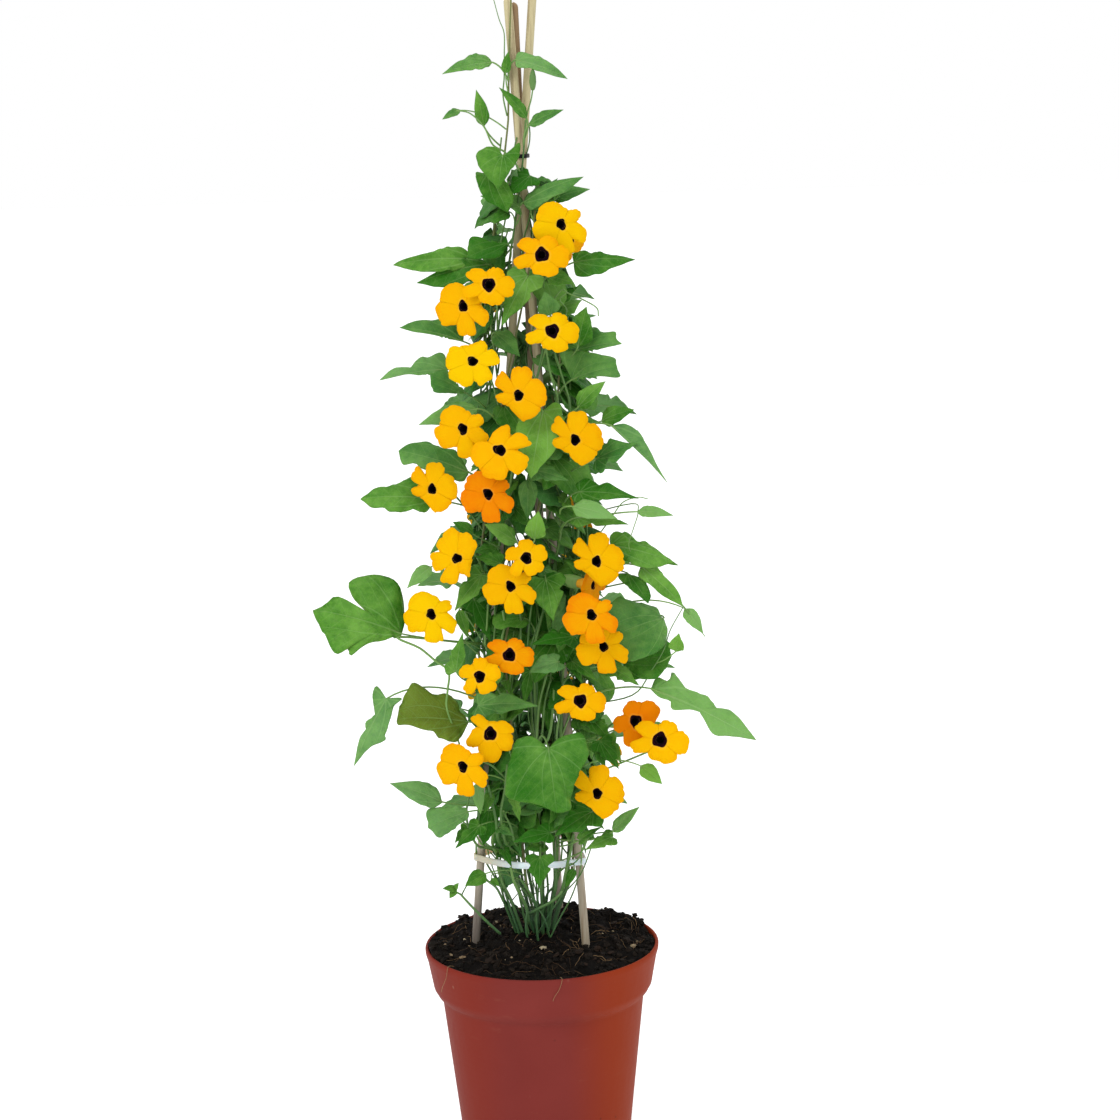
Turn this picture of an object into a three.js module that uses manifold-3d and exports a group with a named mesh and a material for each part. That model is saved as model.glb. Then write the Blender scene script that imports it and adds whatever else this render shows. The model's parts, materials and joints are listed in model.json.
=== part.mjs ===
// A black eyed susan vine (Thunbergia alata) trained up three canes in a nursery pot.
// Millimetres, +Z up, the front faces -Y. The origin is the middle of the pot's flat base.

import * as THREE from 'three';
import { mergeVertices } from 'three/addons/utils/BufferGeometryUtils.js';
import Module from 'manifold-3d';

const wasm = await Module();
wasm.setup();

const seat = 0.3; // clearance between pieces that touch

const pot = {
  height: 130,
  baseRadius: 54,
  bodyTopRadius: 65,
  bodyTopZ: 97.5,
  bandFootRadius: 70.5,
  bandFootZ: 105.5,
  rimRadius: 75,
  lipWidth: 2.2,
  wall: 1.7,
  floor: 2.4,
  sides: 28,
  drainHoles: 4,
  drainRadius: 5,
  drainRing: 38,
  drainSides: 6,
};

const soil = {
  frontZ: 127,
  clearZ: 170,
  backRise: 5,
  mound: 9,
  rings: [0.28, 0.52, 0.74, 0.9, 1],
  sides: 16,
  lumps: 2.4,
};

// Each cane is straight: its axis passes through foot and head, both extended to their own heights.
const caneNames = ['front_left', 'front_right', 'back'];
const canes = {
  radius: 2.8,
  sides: 8,
  footZ: 40,
  hole: 0.4,
  front_left: { foot: [-42, -5, 135], head: [10, 3.9, 721], topZ: 725 },
  front_right: { foot: [28, -20, 135], head: [-4.7, -1.6, 721], topZ: 723 },
  back: { foot: [11.5, 41, 144], head: [-1.2, 3.5, 721], topZ: 720 },
};

// Each tie is a flat band. Between one cane and the next it bulges outward by its own amount.
const ringTie = { z: 187, height: 4.2, thickness: 1.2, clearance: 0.5, bulges: [12, 2, 2] };
const topTie = { z: 627.5, height: 2.4, thickness: 1, clearance: 0.4, bulges: [0, 0, 0] };
const bend = { step: 45, wide: 5, wideShares: [0.2, 0.4, 0.6, 0.8], shares: [0.5] };

// The stems rise from a tight crown, spread out past the canes between them and then wind up
// around them, right handed. Knots are [height, radius of the ring of stems].
const stems = {
  radius: 1.2,
  hole: 0.5,
  tipShare: 0.6,
  sides: 4,
  centre: [1, 3],
  spread: [
    [120, 9], [140, 10], [190, 21], [250, 28], [330, 37],
    [430, 33], [520, 27], [600, 17], [650, 11], [725, 12],
  ],
  starts: [209, 239, 269, 299, 330, 0, 31, 60, 88, 118, 147, 177],
  tops: [600, 575, 590, 560, 605, 520, 580, 640, 722, 585, 650, 610],
  windFrom: 330,
  windTo: 725,
  windTurn: 170,
  sway: 4,
  swayLength: 38,
  swayShift: 2.1,
  straightTo: 138,
  rootZ: 124,
  lowestJointZ: 150,
  levels: [139, 170, 210, 270, 330, 380, 430, 480, 530, 580, 625, 665, 695],
};

// A stalk meets its stem lower than its far end by the drop, and a long one has a bend.
const petiole = { width: 1.4, drop: 12, bendsBeyond: 32 };
const stalkBend = 0.45;

const bloom = {
  thickness: 0.7,
  mouth: 2.7,
  mouthDepth: 0.6,
  mouthSides: 10,
  notchDepth: 0.4,
  tubeRadius: 3.9,
  tubeEnd: 2.9,
  tubeLength: 11,
  throatDepth: 8,
  wave: 0.9,
};

// Outlines of a bloom, petal by petal: [angle in degrees, share of the bloom's radius]. The first
// point of a petal is the notch between it and the petal before.
const bloomForms = {
  open: [
    [[27, 0.68], [42, 0.75], [62, 0.73], [82, 0.66]],
    [[99, 0.51], [116, 0.68], [137, 0.88], [157, 0.94]],
    [[171, 0.56], [188, 1], [208, 0.97]],
    [[225, 0.6], [243, 0.73], [264, 0.71], [282, 0.82], [308, 0.87]],
    [[321, 0.74], [333, 0.97], [360, 0.99], [380, 0.86]],
  ],
  skirt: [
    [[7, 0.58], [17, 0.77], [31, 0.83], [43, 0.75]],
    [[58, 0.56], [78, 0.66], [113, 0.87], [140, 0.94], [160, 0.9]],
    [[169, 0.85], [183, 1.02], [205, 1], [222, 0.98]],
    [[248, 0.67], [258, 0.96], [281, 1.02], [296, 1]],
    [[307, 0.62], [318, 1], [332, 1.01], [348, 0.9]],
  ],
  pinwheel: [
    [[52, 0.76], [61, 0.98], [77, 1.05], [102, 0.97]],
    [[117, 0.62], [123, 1.04], [138, 1.02], [156, 0.92]],
    [[165, 0.57], [180, 0.82], [196, 0.78]],
    [[214, 0.6], [245, 0.6], [272, 0.83], [284, 0.95], [318, 0.96]],
    [[331, 0.88], [345, 1.03], [372, 0.99], [396, 0.92]],
  ],
  round: [
    [[57, 0.72], [71, 0.85], [88, 0.86], [107, 0.84]],
    [[122, 0.65], [136, 0.79], [152, 0.93], [170, 0.97], [183, 0.86]],
    [[188, 0.56], [214, 0.93], [232, 0.98], [247, 0.81]],
    [[251, 0.53], [274, 0.8], [306, 0.87], [327, 0.93]],
    [[342, 0.74], [357, 0.93], [375, 0.98], [396, 0.93]],
  ],
  split: [
    [[3, 0.56], [10, 1.08], [20, 1.09], [35, 0.97], [47, 0.83]],
    [[53, 0.57], [69, 0.87], [81, 0.88], [112, 0.67]],
    [[145, 0.52], [163, 0.88], [190, 1.05], [214, 1]],
    [[226, 0.97], [243, 1.05], [278, 1.03]],
    [[296, 0.75], [308, 1.06], [332, 1.1], [347, 1]],
  ],
  broad: [
    [[40, 0.66], [53, 0.8], [72, 0.81], [94, 0.65]],
    [[128, 0.73], [148, 0.98], [166, 1], [186, 1.03]],
    [[200, 0.93], [211, 1.07], [231, 0.96], [252, 0.95], [266, 0.86]],
    [[275, 0.68], [288, 0.92], [306, 0.93], [323, 0.96]],
    [[341, 0.61], [354, 0.98], [365, 1], [388, 0.85]],
  ],
  slanted: [
    [[-3, 0.57], [21, 0.7], [33, 0.92], [50, 0.99], [70, 1.01]],
    [[85, 0.93], [100, 1.12], [120, 1.03], [150, 0.92]],
    [[162, 0.7], [168, 0.93], [180, 1.02], [211, 0.93]],
    [[220, 0.58], [230, 1], [242, 1.04], [267, 0.9]],
    [[279, 0.55], [302, 0.8], [314, 0.7], [330, 0.58]],
  ],
  torn: [
    [[2, 0.8], [10, 0.96], [40, 0.78], [68, 0.54]],
    [[101, 0.5], [117, 0.78], [127, 0.93], [146, 0.98]],
    [[152, 0.57], [166, 0.75], [180, 0.8], [198, 1.02], [213, 1]],
    [[225, 0.7], [237, 0.9], [254, 1.1], [280, 1.1], [296, 0.96]],
    [[306, 0.8], [323, 1], [340, 0.97], [354, 0.9]],
  ],
  tipped: [
    [[67, 0.79], [85, 0.83], [108, 0.83], [135, 0.7]],
    [[148, 0.56], [162, 0.79], [180, 0.95], [198, 0.95], [210, 0.83]],
    [[214, 0.66], [228, 0.82], [241, 1.03], [262, 1.05]],
    [[285, 0.75], [298, 0.95], [322, 0.98], [335, 0.9]],
    [[345, 0.75], [376, 1.08], [390, 1.1], [411, 1.03]],
  ],
};

const calyx = { length: 15, front: 3.2, belly: 4.4, bellyShare: 0.35, stalk: 0.9, sides: 3, drop: 30 };

// x, y, z of the eye, width across, turn to the right, tilt up, turn of the petals,
// tone from yellow to orange, form
const blooms = [
  [24, -44, 589, 35, 16, 4, 0, 0.1, 'skirt'],
  [12, -54, 572, 34, 4, 6, 0, 0.45, 'open'],
  [-20, -52, 555, 32, -6, 8, 0, 0.35, 'open'],
  [-36, -44, 542, 36, -22, 6, 0, 0.4, 'skirt'],
  [17, -56, 527, 33, 2, 8, 0, 0.15, 'open'],
  [-31, -54, 510, 34, -14, 14, 0, 0, 'broad'],
  [-4, -64, 490, 34, -6, 10, 0, 0.5, 'pinwheel'],
  [-38, -58, 470, 36, -18, 4, 0, 0.4, 'skirt'],
  [-16, -74, 459, 35, -12, 14, 0, 0.4, 'split'],
  [29, -60, 462, 34, 2, 8, 0, 0.4, 'pinwheel'],
  [-58, -50, 433, 32, -12, 6, 0, 0.4, 'pinwheel'],
  [-24, -62, 431, 35, -10, 6, 0, 0.9, 'skirt'],
  [-44, -60, 392, 34, -16, 2, 0, 0.3, 'slanted'],
  [-2, -76, 394, 27, 8, 14, 0, 0.3, 'round'],
  [40, -60, 388, 34, 4, 8, 0, 0.35, 'pinwheel'],
  [-12, -70, 376, 34, -2, 8, 0, 0.35, 'skirt'],
  [-61, -54, 357, 35, -14, 10, 0, 0.05, 'skirt'],
  [36, -74, 358, 35, 8, 14, 0, 0.7, 'skirt'],
  [43, -62, 336, 34, 12, 4, 0, 0.4, 'skirt'],
  [-14, -70, 334, 31, -2, 12, 0, 0.75, 'open'],
  [-32, -78, 323, 27, -8, 12, 0, 0.3, 'round'],
  [28, -72, 305, 32, 4, 12, 0, 0.4, 'open'],
  [-27, -68, 285, 32, -12, 14, 0, 0.35, 'torn'],
  [-44, -76, 267, 36, -20, 8, 0, 0.4, 'skirt'],
  [62, -46, 285, 31, 14, 8, 0, 1, 'tipped'],
  [76, -58, 276, 37, -12, 16, 0, 0.3, 'open'],
  [37, -72, 247, 34, 6, 10, 0, 0.35, 'pinwheel'],
  [29, -12, 578, 27, 40, 4, 30, 0.6, 'round'],
  [38, -43, 370, 28, 60, -6, 20, 0.7, 'skirt'],
  [30, 30, 401, 29, 140, 12, 60, 0.8, 'round'],
  [44, 58, 244, 33, 140, 10, 40, 0.35, 'open'],
  [-30, 64, 284, 34, -150, 10, 20, 0.3, 'skirt'],
  [-8, 84, 320, 34, 182, 12, 60, 0.5, 'round'],
  [-34, 56, 334, 33, -145, 12, 35, 0.4, 'pinwheel'],
  [34, 72, 366, 34, 155, 12, 10, 0.2, 'open'],
  [-26, 66, 402, 33, -160, 12, 50, 0.4, 'skirt'],
  [4, 70, 446, 34, 176, 12, 15, 0.35, 'pinwheel'],
  [24, 44, 494, 32, 145, 12, 45, 0.7, 'open'],
  [-27, 53, 541, 32, -155, 12, 30, 0.3, 'skirt'],
  [14, 72, 284, 30, 165, 12, 25, 0.4, 'round'],
];

// Outlines of a blade, from its base to its tip: [share of its length, share of its half width].
// Where only the left side is given, the right side is its mirror image. The hub is the point on
// the rib, as a share of the length, that sees the whole outline.
const bladeShapes = {
  arrow: { left: [[-0.1, 0.6], [0.08, 1], [0.3, 0.62], [0.46, 0.66]] },
  heart: { left: [[-0.16, 0.5], [0.06, 1], [0.45, 0.95], [0.78, 0.5]] },
  fan: { left: [[0.06, 0.36], [0.44, 0.8], [0.88, 1]] },
  lance: { left: [[0.2, 0.9], [0.58, 0.8]] },
  kite: {
    left: [[0.05, 0.5], [0.25, 1], [0.65, 0.6]],
    right: [[0.2, 0.55], [0.6, 0.35]],
  },
  feather: {
    left: [[0.1, 0.9], [0.3, 0.6], [0.75, 0.55]],
    right: [[0, 0.9], [0.3, 1], [0.5, 0.9], [0.8, 0.45]],
  },
  cloak: {
    left: [[-0.2, 0.25], [-0.15, 0.6], [0.05, 1], [0.5, 0.8]],
    right: [[-0.2, 0.3], [-0.4, 0.6], [0.1, 0.6]],
  },
  toothed: {
    left: [[-0.1, 0.75], [0.5, 1], [0.75, 0.6]],
    right: [[0.25, 0.6], [0.7, 0.75], [0.9, 0.4]],
  },
  sword: {
    left: [[0.1, 1], [0.35, 1], [0.7, 0.75]],
    right: [[0.2, 0.55], [0.55, 0.45], [0.75, 0.3]],
  },
  wedge: {
    left: [[0.3, 0.4], [0.75, 1]],
    right: [[0.3, 0.85], [0.7, 0.7]],
  },
  ridged: {
    left: [[0.05, 0.4], [0.15, 0.8], [0.35, 0.75], [0.65, 0.35], [0.9, 0.25]],
    right: [[0.2, 0.75], [0.55, 1], [0.8, 0.6]],
  },
  keel: {
    left: [[0.2, 0.55], [0.45, 0.4], [0.75, 0.15]],
    right: [[0.2, 0.7], [0.45, 1], [0.7, 0.8]],
  },
  taper: {
    left: [[0.05, 0.75], [0.3, 1], [0.65, 0.5]],
    right: [[0, 0.5], [0.3, 0.45], [0.7, 0.2]],
  },
  tadpole: {
    left: [[0.05, 1], [0.4, 0.95], [0.8, 0.5]],
    right: [[0.3, 0.1], [0.65, 0.15], [0.8, 0.15]],
  },
  spire: {
    left: [[0.3, 1], [0.7, 0.6], [0.85, 0.25]],
    right: [[0.2, 0.75], [0.65, 0.75], [0.85, 0.4]],
  },
  notched: {
    left: [[0.35, 0.2], [0.75, 0.15]],
    right: [[0.35, 1], [0.65, 0.55], [0.9, 0.5], [0.9, 0.25]],
  },
  anvil: {
    left: [[0.3, 0.15], [0.65, 0.25], [1.05, 0.45]],
    right: [[-0.15, 1], [0.55, 0.6], [0.95, 0.4]],
  },
  hooked: {
    left: [[0, 1], [0.2, 0.85], [0.4, 0.75], [0.55, 0.4], [0.75, 0.5]],
    right: [[0.25, 0.25], [0.65, 0.06], [0.85, 0.06]],
  },
  trowel: {
    left: [[0.4, 0.25], [0.75, 0.55]],
    right: [[0.4, 0.55], [0.8, 1], [0.9, 0.65]],
  },
  crescent: {
    left: [[0.15, 0.1], [0.45, 0.1], [0.7, 0.05]],
    right: [[0.1, 0.7], [0.25, 1], [0.45, 0.75], [0.75, 0.25]],
  },
  saddle: {
    hub: 0.5,
    left: [[0.25, 0.95], [0.5, 0.85], [0.7, 1], [0.9, 0.55]],
    right: [[0.1, 0.95], [0.6, 1], [0.75, 0.65], [0.9, 0.95]],
  },
  coarse: {
    left: [[0.25, 1], [0.5, 0.65], [0.65, 0.5], [0.8, 0.5]],
    right: [[0.15, 0.65], [0.3, 0.6], [0.6, 0.8], [0.7, 0.55], [0.85, 0.5]],
  },
  wing: {
    left: [[0.25, 0.7], [0.55, 1], [0.8, 0.55]],
    right: [[-0.05, 0.55], [0.05, 0.9], [0.35, 0.5], [0.65, 0.35]],
  },
  willow: {
    left: [[0.1, 0.95], [0.3, 0.85], [0.65, 0.7]],
    right: [[0.1, 1], [0.4, 0.8], [0.75, 0.65]],
  },
  twoLobed: {
    hub: 0.2,
    left: [
      [0, 0.3], [0.05, 0.65], [0.2, 0.9], [0.35, 1], [0.55, 0.9],
      [0.7, 0.7], [0.6, 0.4], [0.45, 0.2], [0.8, 0.3], [0.9, 0.15],
    ],
    right: [[0.35, 0.45], [0.5, 0.8], [0.55, 0.65], [0.65, 0.8], [0.8, 0.55], [0.9, 0.25]],
  },
  dagger: {
    left: [[-0.1, 1], [0.45, 0.7]],
    right: [[0.4, 0.85], [0.85, 0.6]],
  },
  ragged: {
    left: [[-0.1, 0.75], [0.05, 0.65], [0.25, 0.15], [0.4, 0.35], [0.5, 0.2], [0.65, 0.3]],
    right: [[-0.1, 0.7], [0.05, 0.5], [0.2, 0.7], [0.45, 0.85], [0.5, 1], [0.7, 0.4]],
  },
  boat: {
    left: [[0.2, 0.6], [0.35, 0.75], [0.5, 0.7], [0.65, 0.9], [0.8, 1], [0.95, 0.45]],
    right: [[0.2, 0.65], [0.55, 0.4], [0.85, 0.2], [1, 0.2]],
  },
  apron: {
    left: [[0.1, 0.5], [0.5, 0.8], [0.6, 0.95], [0.85, 0.8]],
    right: [[0.1, 0.55], [0.4, 1], [0.9, 0.85]],
  },
  paddle: {
    left: [[0.2, 0.8], [0.6, 1], [0.85, 0.7]],
    right: [[0.2, 0.35], [0.7, 0.55], [0.95, 0.7]],
  },
  banner: {
    hub: 0.45,
    left: [[0.1, 0.2], [0.2, 0.2], [0.25, 0.55], [0.45, 0.15], [0.65, 0.7], [0.8, 0.4]],
    right: [[0, 0.5], [0.1, 0.5], [0.1, 1], [0.25, 0.6], [0.45, 0.65], [0.6, 0.4], [0.7, 0.6]],
  },
  shield: {
    left: [[-0.2, 0.3], [-0.2, 0.65], [0.1, 0.85], [0.45, 1], [0.7, 1], [0.85, 0.4]],
    right: [[-0.15, 0.3], [-0.15, 0.75], [0.15, 0.85], [0.5, 0.55], [0.8, 0.35], [1, 0.3]],
  },
};
// A blade arches along its length, folds up from its rib and has a waved rim.
const blade = {
  thickness: 0.7,
  hub: 0.3,
  arch: 0.07,
  fold: 0.14,
  wave: 0.05,
  facing: 0.8,
  lift: 0.6,
  backY: 10,
};

// x, y, z of the blade's base, x, y, z of its tip, width, roll about its length, shape
const leaves = [
  [-15, -4, 685, -45, -10, 679, 15, 0, 'kite'],
  [-1, -9, 686, 30, -15, 674, 12, 0, 'feather'],
  [5, -13, 651, -11, -17, 670, 8, 0, 'lance'],
  [6, -12, 647, 27, -18, 656, 9, 0, 'lance'],
  [-21, -5, 647, -25, -8, 669, 9, 0, 'lance'],
  [-10, -20, 630, -13, -30, 610, 31, 0, 'cloak'],
  [-19, -14, 619, -8, -24, 596, 20, 0, 'toothed'],
  [1, -14, 601, 38, -20, 616, 16, 0, 'sword'],
  [19, -6, 602, 42, -8, 608, 10, 0, 'lance'],
  [-9, -20, 577, -33, -28, 570, 20, 0, 'wedge'],
  [-29, -18, 568, -78, -24, 566, 20, 0, 'ridged'],
  [-20, -18, 565, -64, -28, 555, 25, 0, 'keel'],
  [31, -24, 565, 68, -28, 566, 27, 0, 'taper'],
  [-37, -24, 519, -75, -30, 529, 21, 0, 'tadpole'],
  [3, -30, 558, -13, -46, 530, 24, 0, 'arrow'],
  [32, -30, 514, 38, -34, 539, 16, 0, 'spire'],
  [32, -26, 512, 58, -34, 517, 27, 0, 'notched'],
  [28, -32, 495, 55, -40, 503, 39, 0, 'anvil'],
  [-47, -30, 503, -88, -38, 498, 23, 0, 'hooked'],
  [-36, -30, 488, -57, -40, 501, 22, 0, 'trowel'],
  [31, -42, 479, 48, -46, 495, 12, 0, 'lance'],
  [-29, -34, 479, -65, -42, 471, 14, 0, 'lance'],
  [45, -38, 470, 65, -42, 477, 13, 0, 'lance'],
  [51, -44, 468, 84, -52, 433, 17, 0, 'crescent'],
  [-36, -32, 440, -78, -36, 455, 19, 0, 'saddle'],
  [-57, -34, 424, -102, -40, 427, 28, 0, 'coarse'],
  [42, -44, 448, 66, -52, 458, 22, 0, 'arrow'],
  [31, -44, 428, 66, -54, 425, 18, 0, 'arrow'],
  [10, -46, 478, 2, -60, 440, 27, 0, 'heart'],
  [26, -54, 421, 53, -62, 414, 13, 0, 'lance'],
  [29, -42, 412, 60, -48, 408, 14, 0, 'arrow'],
  [65, -50, 416, 87, -54, 414, 8, 0, 'lance'],
  [49, -40, 394, 87, -48, 384, 22, 0, 'wing'],
  [67, -42, 381, 92, -52, 357, 13, 0, 'willow'],
  [-8, -44, 398, -27, -50, 411, 13, 0, 'lance'],
  [-18, -48, 386, -34, -54, 392, 13, 0, 'arrow'],
  [-80, -38, 342, -133, -44, 360, 65, 0, 'twoLobed'],
  [59, -42, 377, 71, -48, 359, 13, 0, 'dagger'],
  [-91, -40, 302, -112, -52, 263, 25, 0, 'ragged'],
  [-41, -36, 285, -84, -46, 291, 45, 0, 'boat'],
  [-30, -40, 378, -47, -44, 357, 18, 0, 'arrow'],
  [-47, -54, 321, -42, -60, 346, 15, 0, 'arrow'],
  [9, -54, 377, 13, -62, 353, 25, 0, 'arrow'],
  [81, -34, 347, 48, -46, 338, 43, 0, 'apron'],
  [55, -32, 319, 85, -38, 323, 30, 0, 'paddle'],
  [25, -50, 340, 0, -58, 338, 17, 0, 'arrow'],
  [47, -44, 319, 64, -50, 309, 14, 0, 'arrow'],
  [72, -40, 304, 135, -54, 273, 31, 0, 'banner'],
  [-34, -48, 298, 2, -58, 300, 20, 0, 'arrow'],
  [8, -76, 277, 12, -90, 241, 56, 0, 'shield'],
  [-58, -46, 237, -90, -54, 252, 16, 0, 'lance'],
  [-43, -48, 231, -67, -56, 224, 19, 0, 'fan'],
  [46, -46, 215, 63, -50, 232, 9, 0, 'lance'],
  [34, -54, 231, 11, -64, 219, 23, 0, 'arrow'],
  [1, -58, 204, 0, -66, 187, 19, 0, 'arrow'],
  [36, 26, 218, 58, 50, 206, 24, 0, 'arrow'],
  [8, 48, 218, 14, 84, 206, 26, 0, 'heart'],
  [-36, 32, 216, -64, 54, 206, 24, 0, 'arrow'],
  [52, 12, 266, 94, 22, 258, 26, 0, 'arrow'],
  [30, 46, 262, 52, 82, 250, 24, 0, 'arrow'],
  [-14, 52, 260, -24, 92, 248, 28, 0, 'heart'],
  [-48, 20, 280, -82, 32, 276, 24, 0, 'arrow'],
  [12, 50, 312, 24, 94, 320, 22, 0, 'arrow'],
  [-38, 40, 308, -70, 72, 298, 26, 0, 'arrow'],
  [54, 26, 306, 90, 44, 298, 24, 0, 'arrow'],
  [36, 42, 340, 64, 78, 330, 24, 0, 'heart'],
  [-16, 54, 350, -30, 92, 338, 26, 0, 'arrow'],
  [-48, 22, 362, -74, 46, 356, 24, 0, 'arrow'],
  [54, 6, 384, 92, 8, 372, 24, 0, 'arrow'],
  [10, 50, 396, 16, 88, 384, 26, 0, 'heart'],
  [-40, 34, 392, -66, 60, 374, 22, 0, 'arrow'],
  [34, 38, 436, 60, 68, 424, 24, 0, 'arrow'],
  [-20, 44, 436, -38, 80, 426, 24, 0, 'arrow'],
  [-42, 14, 436, -78, 22, 440, 22, 0, 'arrow'],
  [42, 12, 474, 68, 26, 466, 22, 0, 'arrow'],
  [6, 44, 480, 8, 78, 474, 22, 0, 'heart'],
  [-34, 28, 476, -58, 50, 466, 22, 0, 'arrow'],
  [26, 32, 520, 44, 60, 526, 20, 0, 'arrow'],
  [-18, 36, 506, -34, 64, 496, 20, 0, 'arrow'],
  [24, 18, 544, 44, 34, 538, 18, 0, 'arrow'],
  [4, 34, 550, 6, 60, 542, 20, 0, 'heart'],
  [-28, 16, 546, -54, 28, 538, 18, 0, 'arrow'],
  [16, 22, 584, 30, 40, 580, 15, 0, 'arrow'],
  [-9, 22, 584, -18, 40, 578, 15, 0, 'arrow'],
];

const paints = {
  terracotta: { color: '#a8452e', roughness: 0.45 },
  peat: { color: '#221611', roughness: 0.95 },
  cane: { color: '#c2a679', roughness: 0.6 },
  ring: { color: '#e9e9e6', roughness: 0.4 },
  wire: { color: '#1b1b1d', roughness: 0.5 },
  foliage: { color: '#3f8a2c', roughness: 0.55 },
};
const yellow = new THREE.Color('#ffcc00');
const orange = new THREE.Color('#f5860f');

const vine = new THREE.Group();

const radians = THREE.MathUtils.degToRad;
const vec = (x, y, z) => new THREE.Vector3(x, y, z);
const alongX = () => vec(1, 0, 0);

// A repeatable number from 0 to 1 for each whole number.
function scatter(index) {
  const value = Math.sin(index * 12.9898 + 4.1) * 43758.5453;
  return value - Math.floor(value);
}

// The value at a height, between knots of [height, value] joined by straight lines.
function along(knots, height) {
  const last = knots.length - 1;
  if (height <= knots[0][0]) return knots[0][1];
  if (height >= knots[last][0]) return knots[last][1];
  const next = knots.findIndex((knot) => knot[0] > height);
  const [lowZ, low] = knots[next - 1];
  const [highZ, high] = knots[next];
  return THREE.MathUtils.lerp(low, high, (height - lowZ) / (highZ - lowZ));
}

function solidFrom(points, faces) {
  const vertProperties = new Float32Array(points.flatMap((p) => [p.x, p.y, p.z]));
  const triVerts = new Uint32Array(faces.flat());
  return new wasm.Manifold(new wasm.Mesh({ numProp: 3, vertProperties, triVerts }));
}

function solidFromGeometry(geometry) {
  geometry.deleteAttribute('normal');
  geometry.deleteAttribute('uv');
  const merged = mergeVertices(geometry, 1e-4);
  const mesh = { numProp: 3, vertProperties: merged.attributes.position.array, triVerts: merged.index.array };
  return new wasm.Manifold(new wasm.Mesh(mesh));
}

function addNode(name, solid, paint) {
  const { vertProperties, triVerts } = solid.getMesh();
  const geometry = new THREE.BufferGeometry();
  geometry.setAttribute('position', new THREE.BufferAttribute(new Float32Array(vertProperties), 3));
  geometry.setIndex(new THREE.BufferAttribute(new Uint32Array(triVerts), 1));
  geometry.computeVertexNormals();
  const mesh = new THREE.Mesh(geometry, new THREE.MeshStandardMaterial({ metalness: 0, ...paint }));
  mesh.name = name;
  vine.add(mesh);
}

// A closed tube with its own radius at each point. Corner 0 of each section looks the way that
// directionAt gives for that point.
function tube(points, radii, sides, directionAt) {
  const vertices = [];
  const faces = [];
  points.forEach((point, i) => {
    const before = points[Math.max(i - 1, 0)];
    const after = points[Math.min(i + 1, points.length - 1)];
    const ahead = after.clone().sub(before).normalize();
    const wanted = directionAt(point);
    const across = wanted.clone().addScaledVector(ahead, -wanted.dot(ahead)).normalize();
    const over = ahead.clone().cross(across);
    for (let k = 0; k < sides; k += 1) {
      const angle = (2 * Math.PI * k) / sides;
      const corner = point.clone().addScaledVector(across, radii[i] * Math.cos(angle));
      vertices.push(corner.addScaledVector(over, radii[i] * Math.sin(angle)));
    }
  });
  for (let i = 0; i < points.length - 1; i += 1) {
    for (let k = 0; k < sides; k += 1) {
      const a = i * sides + k;
      const b = i * sides + ((k + 1) % sides);
      faces.push([a, b, b + sides], [a, b + sides, a + sides]);
    }
  }
  const last = (points.length - 1) * sides;
  for (let k = 1; k < sides - 1; k += 1) {
    faces.push([0, k + 1, k], [last, last + k, last + k + 1]);
  }
  return solidFrom(vertices, faces);
}

function potProfile() {
  const inner = pot.wall;
  return [
    [0, 0],
    [pot.baseRadius - 2, 0],
    [pot.baseRadius, 1.5],
    [pot.bodyTopRadius, pot.bodyTopZ],
    [pot.bandFootRadius - 1, pot.bandFootZ - 2.5],
    [pot.bandFootRadius, pot.bandFootZ],
    [pot.rimRadius, pot.height - 0.8],
    [pot.rimRadius - 0.8, pot.height],
    [pot.rimRadius - pot.lipWidth, pot.height - 0.4],
    [pot.bandFootRadius - inner, pot.bandFootZ + 1],
    [pot.bodyTopRadius - inner, pot.bodyTopZ],
    [pot.baseRadius - inner - 0.6, pot.floor],
    [0, pot.floor],
  ];
}

function makePot() {
  const profile = potProfile().map(([r, z]) => new THREE.Vector2(r, z));
  const shell = new THREE.LatheGeometry(profile, pot.sides);
  shell.rotateX(Math.PI / 2);
  let solid = solidFromGeometry(shell);
  for (let k = 0; k < pot.drainHoles; k += 1) {
    const angle = (2 * Math.PI * (k + 0.5)) / pot.drainHoles;
    const length = 4 * pot.floor;
    const hole = new THREE.CylinderGeometry(pot.drainRadius, pot.drainRadius, length, pot.drainSides);
    hole.rotateX(Math.PI / 2);
    hole.translate(pot.drainRing * Math.cos(angle), pot.drainRing * Math.sin(angle), 0);
    solid = solid.subtract(solidFromGeometry(hole));
  }
  addNode('pot', solid, paints.terracotta);
}

// Radius of the soil where it meets the wall, one clearance inside it.
function soilRadius(z) {
  const wallTop = pot.rimRadius - pot.lipWidth;
  const knots = [
    [pot.floor, pot.baseRadius - pot.wall - 0.6],
    [pot.bodyTopZ, pot.bodyTopRadius - pot.wall],
    [pot.bandFootZ + 1, pot.bandFootRadius - pot.wall],
    [pot.height, wallTop],
  ];
  return (along(knots, z) - seat) * 0.997;
}

function soilTop(x, y, reach) {
  const back = (soil.backRise * (y / pot.rimRadius + 1)) / 2;
  const heap = soil.mound * (1 - reach ** 2);
  return soil.frontZ + back + heap;
}

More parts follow.
